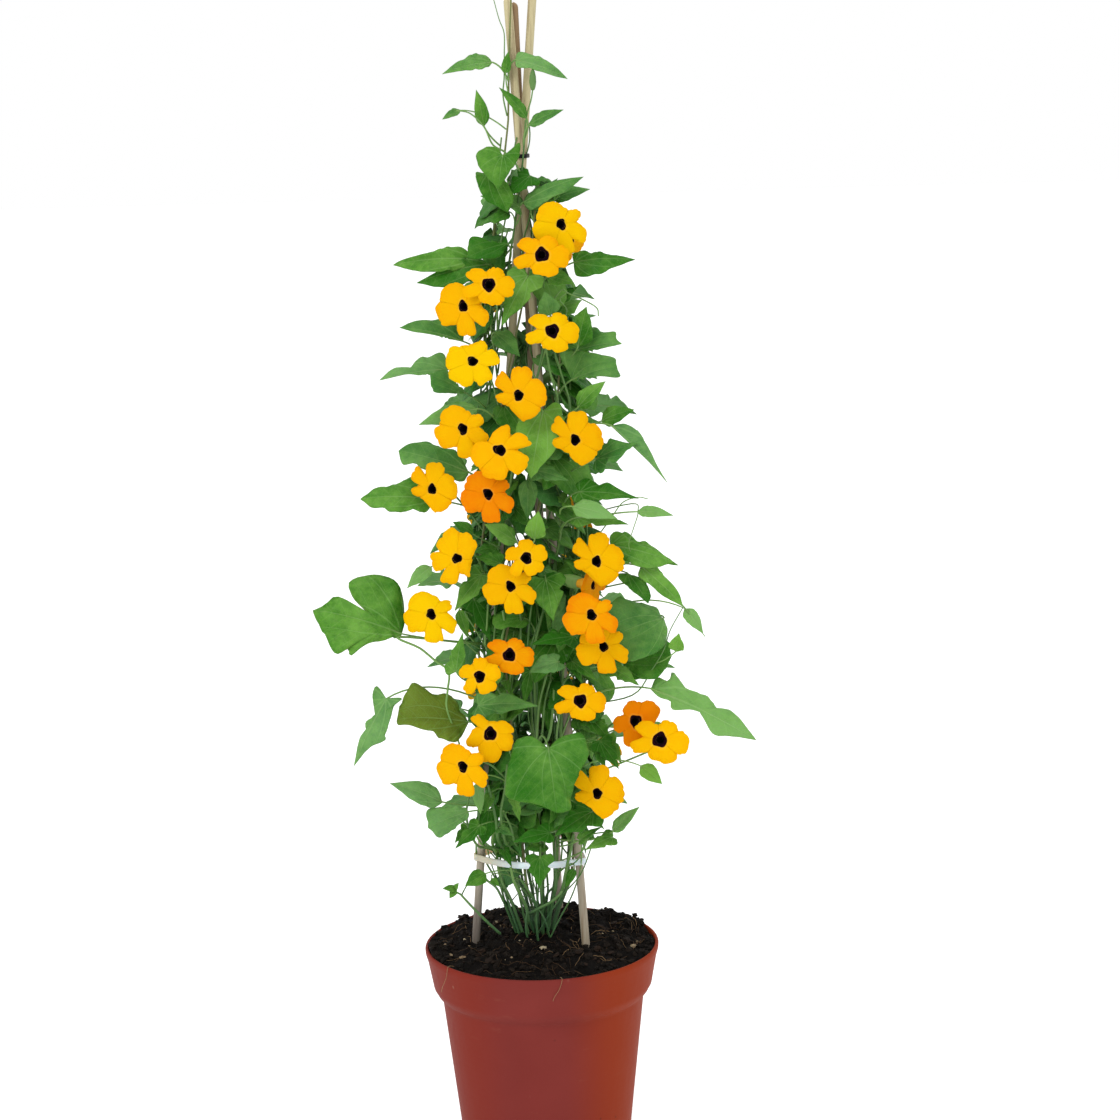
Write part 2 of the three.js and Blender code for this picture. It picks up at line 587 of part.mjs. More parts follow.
function makeSoil() {
  const vertices = [];
  const faces = [];
  const sides = soil.sides;
  const centreHeight = soilTop(0, 0, 0);
  vertices.push(vec(0, 0, centreHeight));
  const outer = soilRadius(soil.frontZ);
  soil.rings.forEach((share, ring) => {
    for (let k = 0; k < sides; k += 1) {
      const angle = (2 * Math.PI * (k + (ring % 2) / 2)) / sides;
      const x = outer * share * Math.cos(angle);
      const y = outer * share * Math.sin(angle);
      const rim = share === 1;
      const lump = rim ? 0 : soil.lumps * (scatter(ring * sides + k) - 0.4);
      vertices.push(vec(x, y, rim ? soil.frontZ : soilTop(x, y, share) + lump));
    }
  });
  const levels = [pot.bandFootZ + 1, pot.bodyTopZ, pot.floor + seat];
  levels.forEach((z) => {
    for (let k = 0; k < sides; k += 1) {
      const angle = (2 * Math.PI * k) / sides;
      vertices.push(vec(soilRadius(z) * Math.cos(angle), soilRadius(z) * Math.sin(angle), z));
    }
  });
  vertices.push(vec(0, 0, pot.floor + seat));
  const ringStart = (ring) => 1 + ring * sides;
  const bands = soil.rings.length + levels.length - 1;
  for (let k = 0; k < sides; k += 1) {
    const next = (k + 1) % sides;
    faces.push([0, 1 + k, 1 + next]);
    for (let band = 0; band < bands; band += 1) {
      const a = ringStart(band) + k;
      const b = ringStart(band) + next;
      const shifted = band < soil.rings.length - 1 && band % 2 === 1;
      if (shifted) {
        faces.push([a, a + sides, ringStart(band + 1) + next]);
        faces.push([a, ringStart(band + 1) + next, b]);
      } else {
        faces.push([a, a + sides, b]);
        faces.push([b, a + sides, ringStart(band + 1) + next]);
      }
    }
    const foot = ringStart(bands);
    faces.push([foot + k, vertices.length - 1, foot + next]);
  }
  return solidFrom(vertices, faces);
}

function canePoint(cane, z) {
  const [fx, fy, fz] = cane.foot;
  const [hx, hy, hz] = cane.head;
  const share = (z - fz) / (hz - fz);
  return vec(fx + (hx - fx) * share, fy + (hy - fy) * share, z);
}

function makeCane(name) {
  const cane = canes[name];
  const ends = [canePoint(cane, canes.footZ), canePoint(cane, cane.topZ)];
  addNode(`cane_${name}`, tube(ends, [canes.radius, canes.radius], canes.sides, alongX), paints.cane);
}

function caneHole(name) {
  const cane = canes[name];
  const ends = [canePoint(cane, canes.footZ - seat), canePoint(cane, soil.clearZ)];
  const radius = canes.radius + canes.hole;
  return tube(ends, [radius, radius], canes.sides, alongX);
}

// A flat band around the three canes: an arc about each cane, and between them a span
// that bulges outward by its own amount.
function bandPath(tie) {
  const centres = caneNames.map((name) => canePoint(canes[name], tie.z));
  const middle = centres.reduce((sum, c) => sum.add(c), vec(0, 0, 0)).divideScalar(centres.length);
  const bearing = (c) => Math.atan2(c.y - middle.y, c.x - middle.x);
  centres.sort((a, b) => bearing(a) - bearing(b));
  const reach = canes.radius + tie.clearance + tie.thickness / 2;
  const path = [];
  centres.forEach((centre, i) => {
    const before = centres[(i + 2) % 3];
    const after = centres[(i + 1) % 3];
    const from = Math.atan2(centre.y - before.y, centre.x - before.x) - Math.PI / 2;
    let to = Math.atan2(after.y - centre.y, after.x - centre.x) - Math.PI / 2;
    while (to < from) to += 2 * Math.PI;
    const steps = Math.ceil((to - from) / radians(bend.step));
    for (let k = 0; k <= steps; k += 1) {
      const angle = from + ((to - from) * k) / steps;
      path.push(vec(centre.x + reach * Math.cos(angle), centre.y + reach * Math.sin(angle), tie.z));
    }
    const bulge = tie.bulges[i];
    const shares = bulge > bend.wide ? bend.wideShares : bend.shares;
    (bulge > 0 ? shares : []).forEach((share) => {
      const out = reach + bulge * 4 * share * (1 - share);
      const point = centre.clone().lerp(after, share);
      path.push(point.add(vec(Math.cos(to) * out, Math.sin(to) * out, 0)));
    });
  });
  return path;
}

function makeTie(name, tie, paint) {
  const path = bandPath(tie);
  const count = path.length;
  const vertices = [];
  const faces = [];
  path.forEach((point, i) => {
    const ahead = path[(i + 1) % count].clone().sub(path[(i + count - 1) % count]).normalize();
    const out = vec(ahead.y, -ahead.x, 0).multiplyScalar(tie.thickness / 2);
    const lift = vec(0, 0, tie.height);
    const outer = point.clone().add(out);
    const inner = point.clone().sub(out);
    vertices.push(outer, outer.clone().add(lift), inner.clone().add(lift), inner);
  });
  for (let i = 0; i < count; i += 1) {
    const a = 4 * i;
    const b = 4 * ((i + 1) % count);
    for (let k = 0; k < 4; k += 1) {
      const l = (k + 1) % 4;
      faces.push([a + k, b + k, b + l], [a + k, b + l, a + l]);
    }
  }
  addNode(name, solidFrom(vertices, faces), paint);
}

function stemPoint(index, z) {
  const { clamp } = THREE.MathUtils;
  const rise = clamp((z - stems.windFrom) / (stems.windTo - stems.windFrom), 0, 1);
  const sway = stems.sway * Math.sin(z / stems.swayLength + index * stems.swayShift) * clamp(4 * rise, 0, 1);
  const angle = radians(stems.starts[index] + stems.windTurn * rise + sway);
  const radius = along(stems.spread, Math.max(z, stems.straightTo));
  return vec(stems.centre[0] + radius * Math.cos(angle), stems.centre[1] + radius * Math.sin(angle), z);
}

function stemPath(index) {
  const top = stems.tops[index];
  const heights = [stems.rootZ, ...stems.levels.filter((z) => z < top - 8), top];
  return heights.map((z) => stemPoint(index, z));
}

function stemHole(index) {
  const foot = stemPoint(index, stems.rootZ);
  const ends = [vec(foot.x, foot.y, stems.rootZ - seat), vec(foot.x, foot.y, soil.clearZ)];
  const radius = stems.radius + stems.hole;
  return tube(ends, [radius, radius], stems.sides, cornerOfStem);
}

// A stem's square section turns one of its faces outward, because its stalks leave there.
function cornerOfStem(point) {
  const outward = vec(point.x - stems.centre[0], point.y - stems.centre[1], 0);
  return outward.applyAxisAngle(vec(0, 0, 1), Math.PI / 4);
}

// The stem and the place on it that a stalk from this point reaches most easily.
function nearestJoint(point, drop) {
  let best = null;
  stems.tops.forEach((top, index) => {
    const z = Math.min(point.z - drop, top - 1);
    const joint = pathPoint(index, Math.max(z, stems.lowestJointZ));
    const distance = joint.distanceTo(point);
    if (!best || distance < best.distance) best = { index, joint, distance };
  });
  return best;
}

// A point on the stem's own faceted axis.
function pathPoint(index, z) {
  const path = stemPath(index);
  const next = Math.max(path.findIndex((p) => p.z >= z), 1);
  const share = (z - path[next - 1].z) / (path[next].z - path[next - 1].z);
  return path[next - 1].clone().lerp(path[next], share);
}

// A stalk leaves the stem outward and upward, then bends towards its end.
function stalkPath(joint, end, arrival, count) {
  const reach = joint.distanceTo(end);
  const elbow = end.clone().addScaledVector(arrival, -stalkBend * reach);
  const curve = new THREE.QuadraticBezierCurve3(joint, elbow, end);
  return curve.getPoints(count);
}

function sideOf(path) {
  const first = path[1].clone().sub(path[0]);
  const second = path[path.length - 1].clone().sub(path[0]);
  const side = first.cross(second);
  return side.length() > 1e-3 ? side.normalize() : vec(-second.y, second.x, 0.1).normalize();
}

function bladeFrame(row) {
  const base = vec(row[0], row[1], row[2]);
  const tip = vec(row[3], row[4], row[5]);
  const ahead = tip.clone().sub(base);
  const length = ahead.length();
  ahead.normalize();
  const open = vec(0, base.y < blade.backY ? -blade.facing : blade.facing, blade.lift);
  const face = open.addScaledVector(ahead, -open.dot(ahead)).normalize();
  face.applyAxisAngle(ahead, radians(row[7]));
  const side = face.clone().cross(ahead);
  return { base, ahead, face, side, length, half: row[6] / 2 };
}

// The points of a blade: its two base corners, its rim from the left lobe round the tip to the
// right lobe, and its hub, which both faces are fanned from.
function bladePoints(row, index, frame) {
  const place = (u, v, ripple) => {
    const lift = blade.arch * frame.length * Math.sin(Math.PI * Math.max(u, 0))
      + frame.half * (blade.fold * Math.abs(v) + ripple);
    return frame.base.clone()
      .addScaledVector(frame.ahead, u * frame.length)
      .addScaledVector(frame.side, v * frame.half)
      .addScaledVector(frame.face, lift);
  };
  const ripple = (k) => 2 * blade.wave * (scatter(index * 9 + k) - 0.5) * (k % 2 ? 2 : -2);
  const shape = bladeShapes[row[8]];
  const leftSide = shape.left;
  const rightSide = shape.right ?? leftSide;
  const left = leftSide.map(([u, v], k) => place(u, -v, ripple(k)));
  const right = rightSide.map(([u, v], k) => place(u, v, ripple(k + 4))).reverse();
  const corner = petiole.width / 2;
  const baseRight = frame.base.clone().addScaledVector(frame.side, corner);
  const baseLeft = frame.base.clone().addScaledVector(frame.side, -corner);
  const hub = place(shape.hub ?? blade.hub, 0, 0);
  return [baseRight, baseLeft, ...left, place(1, 0, 0), ...right, hub];
}

// A leaf is one closed skin: a thin blade, split into the same triangles on both faces, that
// runs on from its two base corners as a square petiole down into the stem.
function leafSolid(row, index, joint) {
  const frame = bladeFrame(row);
  const points = bladePoints(row, index, frame);
  const half = blade.thickness / 2;
  const upper = points.map((p) => p.clone().addScaledVector(frame.face, half));
  const lower = points.map((p) => p.clone().addScaledVector(frame.face, -half));
  const count = points.length;
  const hub = count - 1;
  const faces = [];
  for (let k = 0; k < hub; k += 1) {
    const next = (k + 1) % hub;
    faces.push([hub, k, next], [hub + count, next + count, k + count]);
    if (k > 0) faces.push([k, k + count, next + count], [k, next + count, next]);
  }
  const vertices = [...upper, ...lower];
  const arrival = frame.base.clone().sub(joint).normalize().add(frame.ahead).normalize();
  const steps = joint.distanceTo(frame.base) > petiole.bendsBeyond ? 2 : 1;
  const path = stalkPath(joint, frame.base, arrival, steps).reverse();
  let ring = [0, 1, 1 + count, count];
  const side = frame.side.clone();
  const face = frame.face.clone();
  path.slice(1).forEach((point, i) => {
    const back = path[i].clone().sub(point).normalize();
    side.addScaledVector(back, -side.dot(back)).normalize();
    face.copy(back).cross(side).normalize();
    const corners = [[1, 1], [-1, 1], [-1, -1], [1, -1]].map(([a, b]) => point.clone()
      .addScaledVector(side, (a * petiole.width) / 2)
      .addScaledVector(face, (b * petiole.width) / 2));
    const from = ring;
    ring = corners.map((c, k) => vertices.length + k);
    vertices.push(...corners);
    for (let k = 0; k < 4; k += 1) {
      const l = (k + 1) % 4;
      faces.push([from[k], ring[k], ring[l]], [from[k], ring[l], from[l]]);
    }
  });
  faces.push([ring[0], ring[3], ring[2]], [ring[0], ring[2], ring[1]]);
  return solidFrom(vertices, faces);
}

function bloomFrame(row) {
  const turn = radians(row[4]);
  const tilt = radians(row[5]);
  const facing = vec(Math.sin(turn) * Math.cos(tilt), -Math.cos(turn) * Math.cos(tilt), Math.sin(tilt));
  const right = vec(Math.cos(turn), Math.sin(turn), 0);
  const upward = facing.clone().cross(right);
  return { eye: vec(row[0], row[1], row[2]), facing, right, upward, radius: row[3] / 2 };
}

// Triangles between two rings of points that both run round from the same angle.
function annulus(inner, outer) {
  const faces = [];
  let i = 0;
  let j = 0;
  const angleOf = (ring, k) => ring.angles[k % ring.angles.length] + (k < ring.angles.length ? 0 : 360);
  while (i < inner.angles.length || j < outer.angles.length) {
    const innerDone = i === inner.angles.length;
    const outerDone = j === outer.angles.length;
    const corners = [inner.number(i), outer.number(j)];
    if (outerDone || (!innerDone && angleOf(inner, i + 1) < angleOf(outer, j + 1))) {
      i += 1;
      faces.push([...corners, inner.number(i)]);
    } else {
      j += 1;
      faces.push([...corners, outer.number(j)]);
    }
  }
  return faces;
}

function bloomSolid(row, index) {
  const frame = bloomFrame(row);
  const place = (degrees, radius, depth) => frame.eye.clone()
    .addScaledVector(frame.right, radius * Math.cos(radians(degrees)))
    .addScaledVector(frame.upward, radius * Math.sin(radians(degrees)))
    .addScaledVector(frame.facing, depth);
  const edge = bloomForms[row[8]].flatMap((petal, k) => petal.map(([angle, share], j) => {
    const wave = bloom.wave * (2 * scatter(index * 31 + k * 5 + j) - 1);
    return [row[6] + angle, share * frame.radius, j === 0 ? -bloom.notchDepth : wave];
  }));
  const step = 360 / bloom.mouthSides;
  const mouth = [];
  for (let k = 0; k < bloom.mouthSides; k += 1) {
    mouth.push([edge[0][0] + k * step, bloom.mouth, -bloom.mouthDepth]);
  }
  const half = bloom.thickness / 2;
  const ring = (list, shift, reach = 0) => list.map(([a, r, d]) => place(a, r + reach, d + shift));
  const mouthCount = mouth.length;
  const edgeCount = edge.length;
  const points = [
    ...ring(mouth, half),
    ...ring(mouth, -half, bloom.tubeRadius - bloom.mouth),
    ...ring(edge, half),
    ...ring(edge, -half),
    place(0, 0, -bloom.throatDepth),
  ];
  const throat = points.length - 1;
  const tubeFoot = points.length;
  const footCount = mouthCount / 2;
  for (let k = 0; k < footCount; k += 1) {
    points.push(place(mouth[2 * k][0] + step / 2, bloom.tubeEnd, -bloom.tubeLength));
  }
  const top = (k) => k % mouthCount;
  const edgeTop = (k) => 2 * mouthCount + (k % edgeCount);
  const limb = annulus(
    { angles: mouth.map((point) => point[0]), number: top },
    { angles: edge.map((point) => point[0]), number: edgeTop },
  );
  const under = (v) => (v < mouthCount ? v + mouthCount : v + edgeCount);
  const faces = [...limb, ...limb.map(([a, b, c]) => [under(a), under(c), under(b)])];
  for (let k = 0; k < edgeCount; k += 1) {
    const a = edgeTop(k);
    const b = edgeTop(k + 1);
    faces.push([a, under(a), under(b)], [a, under(b), b]);
  }
  for (let k = 0; k < mouthCount; k += 1) {
    faces.push([throat, top(k), top(k + 1)]);
  }
  for (let k = 0; k < footCount; k += 1) {
    const a = under(top(2 * k));
    const b = under(top(2 * k + 1));
    const c = under(top(2 * k + 2));
    const foot = tubeFoot + k;
    const nextFoot = tubeFoot + ((k + 1) % footCount);
    faces.push([a, foot, b], [b, foot, nextFoot], [b, nextFoot, c]);
    if (k > 1) faces.push([tubeFoot, foot, foot - 1]);
  }
  return solidFrom(points, faces);
}

function calyxSolid(row, joint) {
  const frame = bloomFrame(row);
  const at = (depth) => frame.eye.clone().addScaledVector(frame.facing, -depth);
  const start = bloom.tubeLength + seat;
  const back = at(start + calyx.length);
  const path = stalkPath(joint, back, frame.facing, 2);
  const points = [...path, at(start + calyx.bellyShare * calyx.length), at(start)];
  const radii = [calyx.stalk, calyx.stalk, calyx.stalk, calyx.belly, calyx.front];
  const side = sideOf([path[0], path[1], at(start)]);
  return tube(points, radii, calyx.sides, () => side);
}

function makeLeafyStems() {
  const solids = stems.tops.map((top, index) => {
    const path = stemPath(index);
    const radii = path.map((p, i) => (i === path.length - 1 ? stems.tipShare : 1) * stems.radius);
    return tube(path, radii, stems.sides, cornerOfStem);
  });
  leaves.forEach((row, index) => {
    const { index: stem, joint } = nearestJoint(vec(row[0], row[1], row[2]), petiole.drop);
    solids[stem] = solids[stem].add(leafSolid(row, index, joint));
  });
  blooms.forEach((row) => {
    const frame = bloomFrame(row);
    const depth = bloom.tubeLength + seat + calyx.length;
    const back = frame.eye.clone().addScaledVector(frame.facing, -depth);
    const { index: stem, joint } = nearestJoint(back, calyx.drop);
    solids[stem] = solids[stem].add(calyxSolid(row, joint));
  });
  solids.forEach((solid, index) => {
    addNode(`leafy_stem_${String(index + 1).padStart(2, '0')}`, solid, paints.foliage);
  });
}

function makeBlooms() {
  blooms.forEach((row, index) => {
    const color = yellow.clone().lerp(orange, row[7]);
    addNode(`bloom_${String(index + 1).padStart(2, '0')}`, bloomSolid(row, index), { color, roughness: 0.6 });
  });
}

makePot();
let filling = makeSoil();
caneNames.forEach((name) => {
  filling = filling.subtract(caneHole(name));
});
stems.starts.forEach((start, index) => {
  filling = filling.subtract(stemHole(index));
});
addNode('soil', filling, paints.peat);
caneNames.forEach(makeCane);
makeTie('ring_tie', ringTie, paints.ring);
makeTie('top_tie', topTie, paints.wire);
makeLeafyStems();
makeBlooms();

export default vine;
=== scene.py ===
import json
import math
import random
import bpy
import numpy as np
from mathutils import Matrix, Vector, noise


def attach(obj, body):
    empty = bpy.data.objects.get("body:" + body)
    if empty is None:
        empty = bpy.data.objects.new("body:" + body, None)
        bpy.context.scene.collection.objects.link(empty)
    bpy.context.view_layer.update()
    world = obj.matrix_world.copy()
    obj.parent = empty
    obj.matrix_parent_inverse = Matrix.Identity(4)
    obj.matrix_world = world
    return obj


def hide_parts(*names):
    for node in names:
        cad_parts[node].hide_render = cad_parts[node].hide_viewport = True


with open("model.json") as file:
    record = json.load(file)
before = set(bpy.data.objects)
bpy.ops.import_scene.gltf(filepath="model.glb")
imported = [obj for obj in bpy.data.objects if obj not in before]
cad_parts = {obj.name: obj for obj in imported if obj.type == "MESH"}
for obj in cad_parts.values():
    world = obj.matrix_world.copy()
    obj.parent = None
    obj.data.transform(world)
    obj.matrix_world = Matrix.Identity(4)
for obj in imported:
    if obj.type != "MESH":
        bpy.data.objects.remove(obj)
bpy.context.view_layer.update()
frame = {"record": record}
mm = 0.001  # lengths below are in millimetres, and every mesh is made in metres


# camera, floor and light

cameraView = {
    "place": (0.018, -1.6, 0.66846),
    "downward": 10.27,
    "lean": -1.5,
    "lens": 83.64,
    "sensor": 36,
}


def makeCamera():
    data = bpy.data.cameras.new("camera")
    data.lens = cameraView["lens"]
    data.sensor_width = cameraView["sensor"]
    camera = bpy.data.objects.new("camera", data)
    bpy.context.scene.collection.objects.link(camera)
    pitch = Matrix.Rotation(math.radians(90 - cameraView["downward"]), 4, "X")
    lean = Matrix.Rotation(math.radians(cameraView["lean"]), 4, "Z")
    camera.matrix_world = Matrix.Translation(cameraView["place"]) @ pitch @ lean
    bpy.context.scene.camera = camera


studio = {
    "world": 1.0,
    "white": (1, 1, 1, 1),
    "floorGlow": 0.7,
    "floorColor": (0.5, 0.5, 0.5, 1),
    "floorRoughness": 0.9,
    "floorSize": 30,
    "lamps": [
        # name, place, aim, size, watts
        ("keyLamp", (-1.5, -2.2, 2.4), (0, 0, 0.35), 1.3, 40),
        ("fillLamp", (2.2, -1.6, 1.2), (0, 0, 0.35), 1.8, 5),
        ("topLamp", (0.2, 0.4, 2.6), (0, 0, 0.3), 1.6, 12),
    ],
}


def makeStudio():
    scene = bpy.context.scene
    scene.view_settings.view_transform = "Standard"
    world = bpy.data.worlds.new("paleRoom")
    world.use_nodes = True
    background = world.node_tree.nodes["Background"]
    background.inputs["Color"].default_value = studio["white"]
    background.inputs["Strength"].default_value = studio["world"]
    scene.world = world
    half = studio["floorSize"] / 2
    mesh = bpy.data.meshes.new("floor")
    corners = [(-half, -half, 0), (half, -half, 0), (half, half, 0), (-half, half, 0)]
    mesh.from_pydata(corners, [], [(0, 1, 2, 3)])
    floor = bpy.data.objects.new("floor", mesh)
    scene.collection.objects.link(floor)
    paint = bpy.data.materials.new("paleFloor")
    paint.use_nodes = True
    shader = paint.node_tree.nodes["Principled BSDF"]
    shader.inputs["Base Color"].default_value = studio["floorColor"]
    shader.inputs["Roughness"].default_value = studio["floorRoughness"]
    shader.inputs["Emission Color"].default_value = studio["white"]
    shader.inputs["Emission Strength"].default_value = studio["floorGlow"]
    mesh.materials.append(paint)
    for name, place, aim, size, watts in studio["lamps"]:
        data = bpy.data.lights.new(name, "AREA")
        data.size = size
        data.energy = watts
        lamp = bpy.data.objects.new(name, data)
        lamp.location = place
        lamp.rotation_euler = (Vector(aim) - Vector(place)).to_track_quat("-Z", "Y").to_euler()
        scene.collection.objects.link(lamp)


# vectors, curves and scatter

def vec(*numbers):
    return np.array(numbers, float)


def unit(v):
    return v / np.linalg.norm(v)


def blend(a, b, share):
    return a + (b - a) * share


def smooth(low, high, value):
    share = np.clip((value - low) / (high - low), 0, 1)
    return share * share * (3 - 2 * share)


def scatter(index):  # a repeatable number from 0 to 1
    value = math.sin(index * 12.9898 + 4.1) * 43758.5453
    return value - math.floor(value)


def turned(v, axis, angle):
    along = axis * np.dot(axis, v) * (1 - math.cos(angle))
    return v * math.cos(angle) + np.cross(axis, v) * math.sin(angle) + along


def lump(point, size, seed=0.0):  # smooth noise from -1 to 1
    return noise.noise(Vector((point[0] / size + seed, point[1] / size - seed, point[2] / size)))


def throughPoints(points, steps):  # a smooth curve through the points
    points = np.array(points, float)
    padded = np.vstack([2 * points[0] - points[1], points, 2 * points[-1] - points[-2]])
    found = []
    for span in range(len(points) - 1):
        a, b, c, d = padded[span:span + 4]
        for t in np.arange(steps) / steps:
            found.append(0.5 * (2 * b + (c - a) * t + (2 * a - 5 * b + 4 * c - d) * t * t
                                + (3 * b - a - 3 * c + d) * t ** 3))
    found.append(points[-1])
    return np.array(found)


def evenly(points, count):  # the same curve with evenly spaced points
    steps = np.linalg.norm(np.diff(points, axis=0), axis=1)
    along = np.concatenate([[0], np.cumsum(steps)])
    wanted = np.linspace(0, along[-1], count)
    return np.stack([np.interp(wanted, along, points[:, k]) for k in range(points.shape[1])], axis=1)


def bent(start, elbow, end, count):  # a curve from start to end that the elbow draws aside
    t = np.linspace(0, 1, count)[:, None]
    return start * (1 - t) ** 2 + 2 * elbow * t * (1 - t) + end * t * t


# one object from many small closed skins

class Skin:
    def __init__(self, name, paints, slot):
        self.name, self.paints, self.slot = name, paints, slot
        self.points, self.places, self.kinds = [], [], []
        self.loops, self.sizes, self.smooth, self.paint = [], [], [], []
        self.count = 0

    def add(self, points, places=(0, 0, 0), kinds=(0, 0, 0)):  # returns the number of the first point
        points = np.asarray(points, float)
        first = self.count
        self.points.append(points)
        self.places.append(np.broadcast_to(np.asarray(places, float), points.shape))
        self.kinds.append(np.broadcast_to(np.asarray(kinds, float), points.shape))
        self.count += len(points)
        return first

    def faces(self, corners, first=0, paint=0, isSmooth=True):
        corners = np.asarray(corners, int) + first
        if len(corners) == 0:
            return
        self.loops.append(corners.ravel())
        self.sizes.append(np.full(len(corners), corners.shape[1]))
        self.smooth.append(np.full(len(corners), isSmooth))
        self.paint.append(np.full(len(corners), paint))

    def make(self, *nodes):
        mesh = bpy.data.meshes.new(self.name)
        points = np.concatenate(self.points) * mm
        loops, sizes = np.concatenate(self.loops), np.concatenate(self.sizes)
        mesh.vertices.add(len(points))
        mesh.vertices.foreach_set("co", points.astype(np.float32).ravel())
        mesh.loops.add(len(loops))
        mesh.loops.foreach_set("vertex_index", loops.astype(np.int32))
        mesh.polygons.add(len(sizes))
        mesh.polygons.foreach_set("loop_start", (np.cumsum(sizes) - sizes).astype(np.int32))
        mesh.polygons.foreach_set("use_smooth", np.concatenate(self.smooth))
        mesh.polygons.foreach_set("material_index", np.concatenate(self.paint).astype(np.int32))
        for name, rows in (("place", self.places), ("kind", self.kinds)):
            made = mesh.attributes.new(name, "FLOAT_VECTOR", "POINT")
            made.data.foreach_set("vector", np.concatenate(rows).astype(np.float32).ravel())
        mesh.update(calc_edges=True)
        for paint in self.paints:
            mesh.materials.append(paint)
        piece = bpy.data.objects.new(self.name, mesh)
        bpy.context.scene.collection.objects.link(piece)
        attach(piece, "root")
        if nodes:
            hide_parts(*nodes)
        return piece


def gridQuads(rows, columns, closed=False):  # quads of a grid of points, row by row
    wide = columns if closed else columns - 1
    a = (np.arange(rows - 1)[:, None] * columns + np.arange(wide)[None, :]).ravel()
    b = (np.arange(rows - 1)[:, None] * columns + (np.arange(wide)[None, :] + 1) % columns).ravel()
    return np.stack([a, b, b + columns, a + columns], axis=1)


def gridRim(rows, columns):  # the grid's edge points in order
    bottom = list(range(columns))
    right = [r * columns + columns - 1 for r in range(1, rows)]
    top = [(rows - 1) * columns + c for c in range(columns - 2, -1, -1)]
    left = [r * columns for r in range(rows - 2, 0, -1)]
    return bottom + right + top + left


def closeEnds(skin, first, rows, sides, paint=0, footPaint=0):  # fans from the two points after the rings
    ring = np.arange(sides)
    after = (ring + 1) % sides
    last = (rows - 1) * sides
    skin.faces(np.stack([np.full(sides, rows * sides), after, ring], axis=1), first, footPaint)
    skin.faces(np.stack([np.full(sides, rows * sides + 1), ring + last, after + last], axis=1), first, paint)


def addSheet(skin, upper, lower, quads, triangles, rim):  # two faces and the edge between them
    upperFirst = skin.add(*upper)
    lowerFirst = skin.add(*lower)
    for faces in (quads, triangles):
        if len(faces):
            skin.faces(faces, upperFirst)
            skin.faces(np.asarray(faces)[:, ::-1], lowerFirst)
    rim = np.asarray(rim)
    ahead = np.roll(rim, -1)
    wall = np.stack([rim + upperFirst, rim + lowerFirst, ahead + lowerFirst, ahead + upperFirst], axis=1)
    skin.faces(wall, isSmooth=False)


def addTube(skin, path, radii, sides, paint=0, kind=(0.5, 0, 0), up=None, ripple=None):
    path = np.asarray(path, float)
    count = len(path)
    radii = np.broadcast_to(np.asarray(radii, float), (count,))
    ahead = np.gradient(path, axis=0)
    ahead /= np.linalg.norm(ahead, axis=1)[:, None]
    side = np.cross(ahead[0], up if up is not None else (0.31, 0.2, 0.93))
    if np.linalg.norm(side) < 1e-3:
        side = np.cross(ahead[0], (1, 0, 0))
    side = unit(side)
    angles = 2 * math.pi * np.arange(sides) / sides
    along = np.concatenate([[0], np.cumsum(np.linalg.norm(np.diff(path, axis=0), axis=1))])
    points, places = [], []
    for k in range(count):
        side = unit(side - ahead[k] * np.dot(side, ahead[k]))
        over = np.cross(ahead[k], side)
        radius = radii[k] * (ripple(along[k], angles) if ripple else 1)
        ring = np.cos(angles)[:, None] * side + np.sin(angles)[:, None] * over
        points.append(path[k] + ring * np.broadcast_to(radius, (sides,))[:, None])
        places.append(np.stack([np.full(sides, along[k]), angles / (2 * math.pi), np.zeros(sides)], axis=1))
    foot = path[:1] - ahead[:1] * radii[0] * 0.4  # a point in the middle rounds off each end
    head = path[-1:] + ahead[-1:] * radii[-1] * 0.6
    places += [[[0, 0, 0]], [[along[-1], 0, 0]]]
    first = skin.add(np.concatenate(points + [foot, head]), np.concatenate(places), kind)
    skin.faces(gridQuads(count, sides, True), first, paint)
    closeEnds(skin, first, count, sides, paint, paint)


def addLathe(skin, profile, sides, origin=(0, 0, 0), axis=(0, 0, 1), paint=0, kind=(0.5, 0, 0), shape=None,
             placeOf=None, headBands=0, headPaint=0):
    # profile rows are (radius, height); the first and last lie on the axis
    axis = unit(np.asarray(axis, float))
    across = unit(np.cross(axis, (0.2, 1, 0.1) if abs(axis[1]) < 0.9 else (1, 0, 0)))
    over = np.cross(axis, across)
    angles = 2 * math.pi * np.arange(sides) / sides
    circle = np.cos(angles)[:, None] * across + np.sin(angles)[:, None] * over
    inner = profile[1:-1]
    points, places = [], []
    for radius, height in inner:
        r, h = np.full(sides, float(radius)), np.full(sides, float(height))
        if shape:
            r, h = shape(r, h, angles)
        points.append(np.asarray(origin) + r[:, None] * circle + h[:, None] * axis)
        places.append(placeOf(r, h, angles) if placeOf else np.stack([h, angles, r], axis=1))
    for radius, height in (profile[0], profile[-1]):
        points.append(np.asarray(origin)[None, :] + height * axis[None, :])
        spot = placeOf(np.zeros(1), np.full(1, height), np.zeros(1)) if placeOf else [[height, 0, 0]]
        places.append(np.asarray(spot))
    first = skin.add(np.concatenate(points), np.concatenate(places), kind)
    bands = gridQuads(len(inner), sides, True)
    skin.faces(bands[:headBands * sides], first, headPaint)
    skin.faces(bands[headBands * sides:], first, paint)
    closeEnds(skin, first, len(inner), sides, paint, headPaint if headBands else paint)


